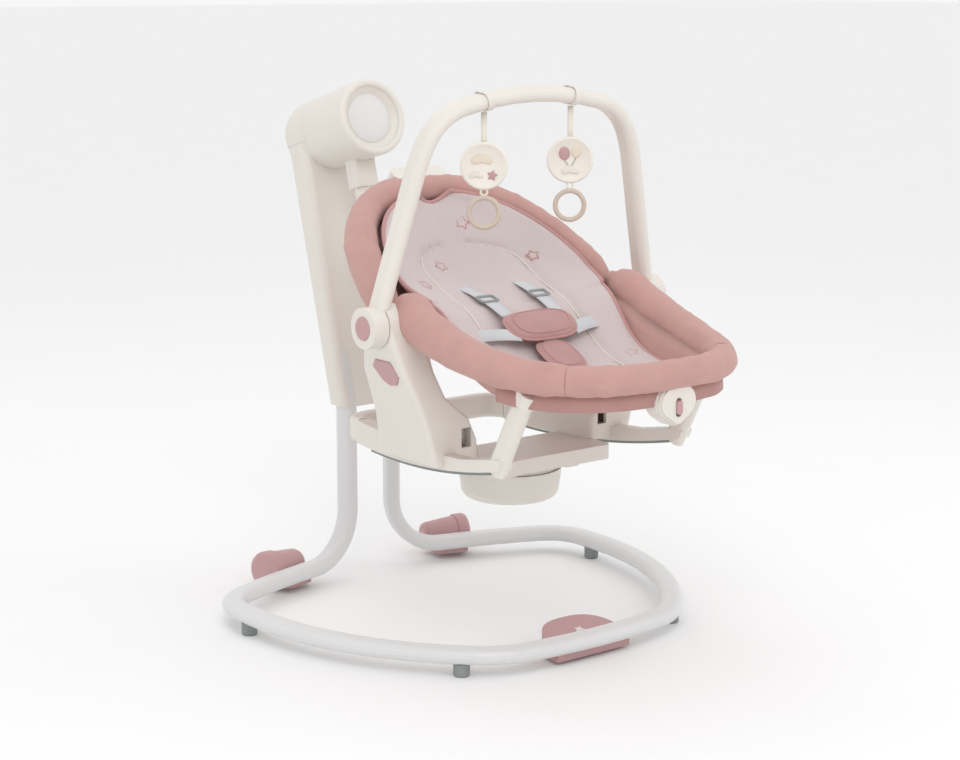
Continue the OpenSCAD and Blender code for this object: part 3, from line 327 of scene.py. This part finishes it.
def make_materials():
    fabric("cover", srgb(197, 154, 147), 0.035, 800.0)
    # a darker copy of the cover fabric: painted shade for the skirt under the front bolster and for the bolster's
    # seam creases
    fabric("cover_painted_shade", srgb(180, 137, 131), 0.035, 800.0)
    fabric("pad_fabric", srgb(187, 146, 144), 0.035, 900.0)
    fabric("piping", srgb(196, 150, 147), 0.03, 1200.0, 0.00004)
    fabric("insert", srgb(208, 195, 194), 0.05, 600.0, 0.00008, 0.15, 1.0)
    fabric("webbing", srgb(205, 207, 210), 0.04, 500.0, 0.0001, 0.1)
    fabric("cream", srgb(232, 226, 215), 0.03, 900.0, 0.00004)
    plastic("shell", srgb(226, 221, 213), 0.36)
    plastic("tube", srgb(219, 219, 219), 0.3, 0.01, 0.00006, 900.0)
    plastic("panel", srgb(206, 206, 204), 0.4)
    plastic("pink_plastic", srgb(192, 152, 153), 0.45)
    plastic("grey_plastic", srgb(152, 157, 154), 0.5)
    plastic("rubber", srgb(140, 145, 143), 0.75, 0.04, 0.0001, 1200.0)
    plastic("black_plastic", srgb(45, 46, 48), 0.5)
    plastic("gear", srgb(226, 224, 212), 0.4)
    plastic("board", srgb(40, 98, 66), 0.45, 0.1)
    plastic("battery", srgb(70, 74, 80), 0.35, 0.1)
    plastic("toy", srgb(236, 231, 221), 0.5, 0.02)
    plastic("toy_raised", srgb(226, 214, 198), 0.55, 0.02)
    plastic("ring", srgb(206, 190, 176), 0.5, 0.03)
    plastic("lens", srgb(222, 221, 219), 0.2)
    metal("steel", srgb(176, 178, 182), 0.28)
    metal("brass", srgb(198, 164, 104), 0.3)
    floor = Look("floor")
    floor.tint(srgb(247, 247, 247), 0.004, 4)
    floor.shader.inputs["Roughness"].default_value = 0.85
    floor.bump(floor.noise(400.0), 0.00005)


def finish_nodes():
    """Each CAD node takes the finish that its own material slot names."""
    for node in frame["nodes"].values():
        for place in node.material_slots:
            name = place.material.name.split(".")[0]
            if name in MATERIALS:
                place.material = MATERIALS[name]


# ---------- bolsters ----------

def fabric_wrinkles(p, size, depth):
    return depth * noise.noise(Vector(p) * size)


FRONT = {"half": 217, "length": 372, "power": 2.7, "start": -396}


def front_rise(s):
    return 541 - 176 * s + 101 * s * s


def front_line(count):
    """Middle line of the front bolster: a half superellipse with tails up the brackets."""
    tail = [(215, -440, 524, 31), (212, -424, 531, 30), (209, -410, 537, 25), (207, -403, 540, 15)]
    body = []
    for a in np.linspace(math.pi / 2, -math.pi / 2, count):
        x = FRONT["half"] * power(math.sin(a), 2 / FRONT["power"])
        reach = power(math.cos(a), 2 / FRONT["power"])
        y = FRONT["start"] - FRONT["length"] * reach
        if y < -452:
            body.append((x, y, front_rise(reach), 32 - 11 * reach))
    return tail[::-1] + body + [(-x, y, z, r) for x, y, z, r in tail]


def front_bolster():
    line = front_line(121)
    points = [seat_point(x, y, z) for x, y, z, r in line]
    radii = []
    for i, (x, y, z, r) in enumerate(line):
        p = points[i]
        seam = 1 - 0.05 * math.exp(-((abs(x) - 150) / 7) ** 2) * (y < -600)
        radii.append((r / 1000 * seam * (1 + fabric_wrinkles(p, 28, 0.03)),
                      r / 1000 * seam * (1 + fabric_wrinkles(p + 3, 24, 0.04))))
    piece = tube("front_bolster_cover", points, radii, "cover", sides=40)
    crease(piece, 55, 0.0016)
    seams = []
    for side in (-1, 1):
        near = [i for i, q in enumerate(line) if q[1] < -600 and q[0] * side > 0]
        at = min(near, key=lambda i: abs(abs(line[i][0]) - 150))
        seams.append(seam_ring(points, radii, at, "front_seam"))
    piece = join("front_bolster_cover", [piece] + seams)
    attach(piece, "rocker")
    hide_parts("front_bolster")


def seam_ring(points, radii, at, name):
    """A sewn seam round a bolster, in the darker cover copy as painted shade in its crease."""
    side, top = frames_along(points, (0, 0, 1))[at]
    a, b = radii[at]
    ring = [points[at] + side * a * 1.003 * math.cos(q) + top * b * 1.003 * math.sin(q)
            for q in around(40)]
    along = unit(points[at + 1] - points[at - 1])
    return tube(name, ring, 0.0011, "cover_painted_shade", up=along, closed=True, sides=6)


def crease(piece, size, depth):
    """Soft folds in a cover, square to its surface."""
    piece.data.update()
    normals = [v.normal.copy() for v in piece.data.vertices]
    for vertex, normal in zip(piece.data.vertices, normals):
        wave = noise.noise(vertex.co * size) + 0.5 * noise.noise(vertex.co * size * 2.3)
        vertex.co += normal * depth * (wave - 0.4)


def back_line(count):
    line = []
    for a in np.linspace(math.pi / 2, -math.pi / 2, count):
        x = 214 * power(math.sin(a), 2 / 2.3)
        s = 303 * power(math.cos(a), 2 / 2.3)
        if s < 18:
            continue
        line.append((x, s))
    return line


def back_bolster():
    line = back_line(121)
    points = [back_point(x, s, -8) for x, s in line]
    radii = []
    for i, (x, s) in enumerate(line):
        ends = min(1, 0.55 + 0.45 * min(i, len(line) - 1 - i) / 6)
        w = 1 + fabric_wrinkles(points[i], 26, 0.04)
        notch = 1 - 0.06 * math.exp(-(x / 50) ** 8)
        radii.append((0.0245 * ends * w * notch, 0.0305 * ends * w * notch))
    piece = tube("back_bolster_cover", points, radii, "cover", up=BACK_OUT, sides=40)
    crease(piece, 55, 0.0016)
    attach(piece, "back")
    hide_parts("back_bolster")


# ---------- insert, sling and skirt ----------

def pad_width(s):
    if s >= 267:
        return 20
    return 188 * (1 - (max(s, 0) / 268) ** 2.3) ** (1 / 2.3) - 22 * max(0, 1 - s / 110) ** 2


SEAT_ROWS = [(-414, 512, 170, 30), (-440, 490, 166, 40), (-466, 467, 163, 38), (-494, 449, 160, 26),
             (-530, 435, 157, 18), (-580, 428, 150, 14), (-630, 430, 138, 12), (-680, 440, 118, 8),
             (-704, 450, 100, 4)]


class Insert:
    """The padded liner's face: rows from the head end, over the hinge, to the legs."""

    columns = np.linspace(-1, 1, 49)

    def __init__(self):
        rows = []
        for s in np.linspace(266, 6, 40):
            edge = 20 + 14 * max(0, 1 - s / 60)
            mid = 2 - 24 * math.sin(math.pi * s / 268)
            half = pad_width(s)
            rows.append([back_point(q * half, s, mid + (edge - mid) * q * q) for q in self.columns])
        for y, z, half, lift in lerp_rows(SEAT_ROWS, 45):
            rows.append([seat_point(q * half, y, z + lift * q * q) for q in self.columns])
        self.grid = np.array(rows)
        for _ in range(2):
            self.grid[1:-1] = (self.grid[:-2] + 2 * self.grid[1:-1] + self.grid[2:]) / 4
        middle = self.grid[:, len(self.columns) // 2]
        steps = np.linalg.norm(np.diff(middle, axis=0), axis=1)
        self.along = np.concatenate([[0], np.cumsum(steps)])
        down = np.gradient(self.grid, axis=0)
        across = np.gradient(self.grid, axis=1)
        normal = np.cross(down, across)
        self.normal = normal / np.linalg.norm(normal, axis=2, keepdims=True)
        if self.normal[10, 24] @ BACK_OUT < 0:
            self.normal = -self.normal

    def at(self, x, along, lift=0.0):
        """The face point x across and so far down from the head end, in metres."""
        row = float(np.interp(along, self.along, np.arange(len(self.along))))
        i = min(int(row), len(self.grid) - 2)
        f = row - i
        line = self.grid[i] * (1 - f) + self.grid[i + 1] * f
        norm = self.normal[i] * (1 - f) + self.normal[i + 1] * f
        c = float(np.interp(x, line[:, 0], np.arange(len(self.columns))))
        k = min(int(c), len(self.columns) - 2)
        g = c - k
        return line[k] * (1 - g) + line[k + 1] * g + unit(norm[k] * (1 - g) + norm[k + 1] * g) * lift


def body_outline(along):
    """Half width of the sewn body support at a distance from the head end."""
    top = 0.085
    low = 0.52
    if along < top or along > low:
        return 0.0
    half = 0.097
    rise = min(1, (along - top) / 0.07)
    fall = min(1, (low - along) / 0.05)
    return half * math.sqrt(max(0, 1 - (1 - rise) ** 2)) * math.sqrt(max(0, 1 - (1 - fall) ** 2))


def insert_pad(liner):
    thick = 0.013
    n = len(liner.grid)
    m = len(liner.columns)
    upper = np.zeros_like(liner.grid)
    lower = np.zeros_like(liner.grid)
    for i in range(n):
        end = min(i, n - 1 - i) / 3.0
        for j in range(m):
            side = min(j, m - 1 - j) / 2.5
            round_off = math.sqrt(1 - (1 - min(1, end)) ** 2) * math.sqrt(1 - (1 - min(1, side)) ** 2)
            p = liner.grid[i, j]
            half = body_outline(liner.along[i])
            gap = (abs(p[0]) - half) * 1000
            groove = 0.0045 * math.exp(-(gap / 4.5) ** 2) if half > 0.02 else 0
            swell = 0.003 * (1 - math.exp(-(gap / 14) ** 2))
            folds = 0.0012 * noise.noise(Vector(p) * 35)
            lift = (swell + folds) * round_off - groove - 0.003 * (1 - round_off)
            upper[i, j] = p + liner.normal[i, j] * lift
            lower[i, j] = p - liner.normal[i, j] * (0.003 + (thick - 0.003) * round_off)
    piece, edge = double_skin("insert_pad", upper, lower, "insert")
    piping = tube("insert_edge", edge, 0.0034, "piping", up=BACK_OUT, closed=True, sides=8)
    groove = []
    rows = list(np.linspace(0.087, 0.518, 60))
    for side in (1, -1):
        for along in (rows if side > 0 else rows[::-1]):
            groove.append(liner.at(side * body_outline(along), along, -0.0025))
    stitch = tube("insert_stitch", groove, 0.0012, "cream", up=BACK_OUT, closed=True, sides=6)
    piece = join("insert_pad", [piece, piping, stitch])
    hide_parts("back_pad", "seat_pad")
    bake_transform(piece)


def star_points(size, turn, count=5):
    out = []
    for k in range(2 * count):
        r = size if k % 2 == 0 else size * 0.5
        a = math.pi * k / count + turn
        out.append((r * math.sin(a), -r * math.cos(a)))
    return out


def rounded(outline, per_side=4):
    """Points along an outline, with its corners eased."""
    pts = np.array(outline)
    fine = []
    for a, b in zip(pts, np.roll(pts, -1, axis=0)):
        for k in range(per_side):
            fine.append(a + (b - a) * k / per_side)
    fine = np.array(fine)
    return (np.roll(fine, 1, axis=0) + 2 * fine + np.roll(fine, -1, axis=0)) / 4


def insert_stars(liner):
    places = [(-0.105, 0.075, 0.014, 0.2), (0.035, 0.05, 0.014, 0.5), (-0.06, 0.14, 0.013, 0.9),
              (0.115, 0.15, 0.012, 0.1), (-0.135, 0.20, 0.013, 0.4), (0.06, 0.215, 0.012, 0.8),
              (0.13, 0.42, 0.012, 0.3), (-0.12, 0.45, 0.012, 0.6)]
    groups = {"back": [], "rocker": []}
    for x, along, size, turn in places:
        body = "back" if along < 0.235 else "rocker"
        line = [liner.at(x + dx, along + dy, 0.0022) for dx, dy in rounded(star_points(size, turn))]
        groups[body].append(tube("star", line, 0.0012, "piping", up=BACK_OUT, closed=True, sides=6))
    for body, stars in groups.items():
        piece = join("insert_stars_" + body, stars)
        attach(piece, body)


SLING = [(-424, 474), (-450, 450), (-480, 425), (-515, 407), (-560, 399), (-610, 399), (-660, 409),
         (-705, 425), (-722, 434)]


def ring_half(y):
    s = min(1, max(0, (FRONT["start"] - y) / FRONT["length"]))
    return FRONT["half"] * (1 - s ** FRONT["power"]) ** (1 / FRONT["power"])


def seat_sling():
    """Fabric bowl hung inside the front bolster."""
    rows_top = []
    rows_low = []
    columns = np.linspace(-1, 1, 41)
    for y, z in lerp_rows(SLING, 48):
        s = (FRONT["start"] - y) / FRONT["length"]
        half = ring_half(y) - (32 - 11 * s) - 1
        rim = front_rise(s) - 2
        top = []
        low = []
        for q in columns:
            height = z + (rim - z) * abs(q) ** 6
            p = seat_point(q * half, y, height)
            fold = 0.0015 * noise.noise(Vector(p) * 30)
            top.append(p + np.array([0, 0, fold]))
            low.append(p + np.array([0, 0, fold - 0.005]))
        rows_top.append(top)
        rows_low.append(low)
    piece, _ = double_skin("seat_sling_cover", np.array(rows_top), np.array(rows_low), "cover")
    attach(piece, "rocker")
    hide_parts("seat_sling")


SKIRT_DROP = 27


def skirt():
    """Band that hangs under the front bolster, with soft ripples, in the darker cover copy as painted shade from
    the bolster above.
    """
    rings = []
    for a in np.radians(np.linspace(-62, 62, 90)):
        x = FRONT["half"] * power(math.sin(a), 2 / FRONT["power"])
        reach = power(math.cos(a), 2 / FRONT["power"])
        y = FRONT["start"] - FRONT["length"] * reach
        z = front_rise(reach) - (32 - 11 * reach) + 4
        ripple = 1.3 * math.sin(18 * a) * math.cos(5 * a)
        out = unit(np.array([x, y + 560, 0]))
        section = [(0, 1.6), (-14, 1.6), (-25, 1.8), (-SKIRT_DROP, 0.6)]
        section += [(depth, -thick) for depth, thick in section[::-1]]
        rings.append([seat_point(x, y, z + depth) + out * (thick - ripple * depth / SKIRT_DROP) / 1000
                      for depth, thick in section])
    piece = loft("seat_skirt", rings, "cover_painted_shade")
    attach(piece, "rocker")


def back_panel():
    """Fabric skin of the backrest, behind the liner."""
    rows = []
    for s in np.linspace(292, 14, 40):
        half = 214 * (1 - (s / 303) ** 2.3) ** (1 / 2.3) - 6
        line = []
        for q in np.linspace(-1, 1, 33):
            sag = -30 * (1 - q * q) * math.sin(math.pi * min(1, s / 292)) ** 0.5 - 9
            fold = 1.5 * noise.noise(Vector(back_point(q * half, s, 0)) * 30)
            line.append((q * half, s, sag + fold - 8))
        rows.append(line)
    front = np.array([[back_point(x, s, k) for x, s, k in row] for row in rows])
    rear = np.array([[back_point(x, s, k - 4) for x, s, k in row] for row in rows])
    piece, _ = double_skin("back_panel", front, rear, "cover")
    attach(piece, "back")


# ---------- harness ----------

def pillow(name, outline, centre, right, upward, thick, material):
    """A stuffed pad with a rounded outline, crowned in the middle."""
    normal = unit(np.cross(right, upward))
    edge = np.array(outline)
    for _ in range(3):
        ahead = np.roll(edge, -1, axis=0)
        edge = np.concatenate([(edge * 3 + ahead) / 4, (edge + 3 * ahead) / 4], axis=1).reshape(-1, 2)
    rings = []
    shape = [(1.0, 0.0), (0.985, 0.24), (0.95, 0.42), (0.86, 0.62), (0.7, 0.8), (0.45, 0.94), (0.18, 1.0),
             (0.02, 1.0)]
    for side in (1, -1):
        for k, h in (shape[::-1] if side > 0 else shape):
            face = centre + normal * side * h * thick / 2
            rings.append([face + right * x * k + upward * y * k for x, y in edge])
    piece = loft(name, rings, material)
    piping = tube(name + "_piping", [centre + right * x + upward * y for x, y in edge], 0.0022, "piping",
                  up=normal, closed=True, sides=8)
    groove = tube(name + "_stitch", [centre + right * x * 0.8 + upward * y * 0.8 + normal * thick * 0.37
                                     for x, y in edge], 0.001, "piping", up=normal, closed=True, sides=6)
    return join(name, [piece, piping, groove])


def pad_frame(node, tilt):
    low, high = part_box(node)
    centre = np.array((low + high) / 2)
    t = math.radians(tilt)
    return centre, np.array([1.0, 0, 0]), np.array([0, math.cos(t), math.sin(t)])


def harness():
    centre, right, upward = pad_frame("chest_pad", 36)
    shield = [(0.066 * power(math.cos(a), 0.6), (0.024 if a < math.pi else 0.036) * power(math.sin(a), 0.8))
              for a in around(24)]
    chest = pillow("chest_pad_cover", shield, centre, right, upward, 0.020, "pad_fabric")
    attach(chest, "rocker")
    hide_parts("chest_pad")
    c2, right2, upward2 = pad_frame("crotch_pad", 27)
    shape = [(0.033 * power(math.cos(a), 0.7), 0.038 * power(math.sin(a), 0.7))
             for a in around(24)]
    crotch = pillow("crotch_pad_cover", shape, c2, right2, upward2, 0.014, "pad_fabric")
    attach(crotch, "rocker")
    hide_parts("crotch_pad")
    straps = []
    for side in (-1, 1):
        top = back_point(side * 56, 85, -17)
        low = centre + right * side * 0.048 + upward * 0.020
        bow = (top + low) / 2 + BACK_OUT * 0.012
        line = [top * (1 - t) ** 2 + 2 * bow * t * (1 - t) + low * t * t for t in np.linspace(0, 1, 24)]
        straps.append(band("harness_strap", line, 0.024, 0.0018, "webbing", (1, 0, 0)))
        k = 13
        adjuster = [line[k] + np.array([x, 0, 0]) + unit(line[k + 1] - line[k]) * y + BACK_OUT * 0.002
                    for x, y in ((-0.016, -0.009), (0.016, -0.009), (0.016, 0.009), (-0.016, 0.009))]
        fine = []
        for a, b in zip(adjuster, adjuster[1:] + adjuster[:1]):
            fine += [a + (b - a) * f for f in (0.1, 0.5, 0.9)]
        straps.append(tube("ladder_lock", fine, 0.0022, "grey_plastic", up=BACK_OUT, closed=True, sides=8))
        waist = centre + right * side * 0.055 - upward * 0.022
        hip = seat_point(side * 118, -462, 490)
        mid = (waist + hip) / 2 + np.array([0, 0, 0.004])
        line = [waist * (1 - t) ** 2 + 2 * mid * t * (1 - t) + hip * t * t for t in np.linspace(0, 1, 16)]
        straps.append(band("waist_strap", line, 0.024, 0.0018, "webbing", (0, 0.8, 0.6)))
    link = [centre - upward * 0.026, (centre + c2) / 2 - np.array([0, 0, 0.004]), c2 + upward2 * 0.018]
    straps.append(band("crotch_strap", link, 0.026, 0.0018, "webbing", (1, 0, 0)))
    piece = join("harness_webbing", straps)
    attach(piece, "rocker")
    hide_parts("harness_straps")


# ---------- toys ----------

def turned(name, profile, centre, axis, material, steps=64, scale=(1, 1)):
    """A body of revolution round an axis through centre; profile is (radius, height) pairs, in metres."""
    axis = unit(np.array(axis, float))
    side = unit(np.cross(axis, (0, 0, 1) if abs(axis[2]) < 0.9 else (0, 1, 0)))
    top = np.cross(side, axis)
    rings = []
    for r, h in profile:
        rings.append([centre + axis * h + side * r * math.cos(a) * scale[0] + top * r * math.sin(a) * scale[1]
                      for a in around(steps)])
    return loft(name, rings, material)


def blob(name, outline, centre, side, top, out, lift, material):
    """A low raised shape on a toy's face."""
    pts = rounded(outline, 3)
    rings = []
    middle = pts.mean(axis=0)
    for k, h in ((1.0, -0.0005), (1.0, lift * 0.6), (0.93, lift), (0.5, lift * 1.05), (0.05, lift * 1.08)):
        rings.append([centre + side * x + top * y + out * h for x, y in middle + (pts - middle) * k])
    return loft(name, rings, material)


def cloud(width):
    lobes = [(-0.32, 0.0, 0.2), (-0.1, 0.12, 0.24), (0.16, 0.1, 0.22), (0.36, -0.02, 0.18)]
    out = []
    for a in around(28):
        d = np.array([math.cos(a), math.sin(a)])
        reach = 0
        for x, y, r in lobes:
            c = np.array([x, y])
            b = d @ c
            gap = b * b - c @ c + r * r
            if gap > 0:
                reach = max(reach, b + math.sqrt(gap))
        out.append(tuple(d * max(reach, 0.12) * width))
    return out


def round_outline(r, squash=1.0):
    return [(r * math.cos(a), r * squash * math.sin(a)) for a in around(20)]


def cloud_picture(face, side, top, out):
    """Two clouds and a star on the left toy."""
    high = face + top * 0.008 - side * 0.004
    low = face - top * 0.014
    star = [(x, -y) for x, y in star_points(0.009, 0.2)]
    return [blob("cloud", cloud(0.03), high, side, top, out, 0.0016, "toy_raised"),
            blob("star", star, low + side * 0.012, side, top, out, 0.0016, "pink_plastic"),
            blob("cloud", cloud(0.02), low - side * 0.012, side, top, out, 0.0014, "cream")]


def balloon_picture(face, side, top, out):
    """Two balloons over a cloud on the right toy."""
    parts = [blob("cloud", cloud(0.026), face - top * 0.017, side, top, out, 0.0015, "cream")]
    knot = face - top * 0.012 + out * 0.001
    for x, y, r, finish in ((-0.009, 0.010, 0.0085, "pink_plastic"), (0.009, 0.012, 0.0075, "toy_raised")):
        middle = face + side * x + top * y
        parts.append(blob("balloon", round_outline(r, 1.2), middle, side, top, out, 0.0016, finish))
        parts.append(tube("string", [middle - top * r * 1.2 + out * 0.001, knot], 0.0005, "grey_plastic",
                          up=out, sides=6))
    return parts


def toys():
    turn = math.radians(35)
    out = np.array([-math.sin(turn), -math.cos(turn), 0])
    side = np.array([math.cos(turn), -math.sin(turn), 0])
    top = np.array([0, 0, 1.0])
    for name in ("left", "right"):
        low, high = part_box("toy_disc_" + name)
        ring_low, ring_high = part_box("toy_ring_" + name)
        ring_centre = np.array((ring_low + ring_high) / 2)
        disc_r = min((high.x - low.x) / 2 / math.cos(turn) * 0.93, 0.036)
        centre = np.array([ring_centre[0], ring_centre[1], 0.744])
        t = 0.005
        profile = [(disc_r * k, t * h) for k, h in (
            (0.01, -1), (0.86, -1), (0.95, -0.8), (1, -0.2), (1, 0.3), (0.96, 0.9), (0.9, 1), (0.86, 0.7),
            (0.01, 0.7))]
        parts = [turned("disc", profile, centre, out, "toy")]
        face = centre + out * t * 0.7
        parts += (cloud_picture if name == "left" else balloon_picture)(face, side, top, out)
        hook = np.array([centre[0], centre[1], high.z])
        strap = [centre + top * (disc_r - 0.004), centre + top * (disc_r + 0.01), hook]
        parts.append(band("toy_strap", strap, 0.009, 0.0016, "cream", side))
        eye = [centre - top * (disc_r + 0.003) + top * 0.005 * math.sin(a) + side * 0.005 * math.cos(a)
               for a in around(20)]
        parts.append(tube("toy_eye", eye, 0.0016, "toy", up=out, closed=True, sides=8))
        piece = join("toy_" + name, parts)
        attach(piece, "toy_disc_" + name)
        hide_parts("toy_disc_" + name)
        ring_r = (ring_high.z - ring_low.z) / 2 - 0.004
        loop = []
        for a in around(64):
            radial = side * math.cos(a) + top * math.sin(a)
            loop.append([ring_centre + radial * (ring_r + u) + out * w for u, w in
                         ((-0.004, 0.0), (-0.003, -0.0028), (0, -0.004), (0.0028, -0.0028), (0.0036, -0.0008),
                          (0.0030, 0.0), (0.0036, 0.0008), (0.0028, 0.0028), (0, 0.004), (-0.003, 0.0028))])
        ring = loft("toy_hoop_" + name, loop, "ring", closed=True)
        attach(ring, "toy_ring_" + name)
        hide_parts("toy_ring_" + name)


# ---------- small marks ----------

def marks():
    low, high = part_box("front_foot_pad")
    out = unit(np.array([0, -math.sin(math.radians(14)), math.cos(math.radians(14))]))
    centre = np.array([(low.x + high.x) / 2, (low.y + high.y) / 2 - 0.004, high.z - 0.010])
    across, up = np.array([1.0, 0, 0]), np.array([0, 1.0, 0.25])
    star = blob("floor_star", star_points(0.011, 0.0), centre, across, up, out, 0.001, "shell")
    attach(star, "stand")


# ---------- floor, lights and camera ----------

def studio():
    """A wide pale floor under an even white sky."""
    reach = 60
    edge = [(x * reach, y * reach, 0) for x, y in ((-1, -1), (1, -1), (1, 1), (-1, 1))]
    floor = make_mesh("studio_floor", edge, [(0, 1, 2, 3)], "floor")
    world = bpy.data.worlds.new("studio")
    bpy.context.scene.world = world
    world.use_nodes = True
    world.node_tree.nodes["Background"].inputs["Color"].default_value = (1, 1, 1, 1)
    world.node_tree.nodes["Background"].inputs["Strength"].default_value = 0.93
    lamps = [((-1.2, -2.0, 2.6), 1.6, 18), ((1.9, -1.2, 1.9), 1.6, 4), ((0.2, 1.6, 2.6), 1.4, 4)]
    for k, (place, size, watts) in enumerate(lamps):
        data = bpy.data.lights.new("softbox_%d" % k, "AREA")
        data.size = size
        data.energy = watts
        lamp = bpy.data.objects.new(data.name, data)
        bpy.context.scene.collection.objects.link(lamp)
        lamp.location = place
        aim = Vector((0, 0, 0.45)) - Vector(place)
        lamp.rotation_mode = "QUATERNION"
        lamp.rotation_quaternion = aim.to_track_quat("-Z", "Y")
    data = bpy.data.cameras.new("view")
    camera = bpy.data.objects.new("view", data)
    bpy.context.scene.collection.objects.link(camera)
    data.lens = 77.46
    data.sensor_width = 36
    camera.location = (-1.9915, -2.8751 + 0.3065, 1.0235)
    turn = math.radians(-37.9)
    rise = math.radians(11.1)
    back = Vector((math.sin(turn) * math.cos(rise), -math.cos(turn) * math.cos(rise), math.sin(rise)))
    camera.rotation_mode = "QUATERNION"
    camera.rotation_quaternion = (-back).to_track_quat("-Z", "Y")
    bpy.context.scene.camera = camera
    bpy.context.scene.view_settings.view_transform = "Standard"


make_materials()
finish_nodes()
front_bolster()
back_bolster()
LINER = Insert()
insert_pad(LINER)
insert_stars(LINER)
seat_sling()
skirt()
back_panel()
harness()
toys()
marks()
studio()
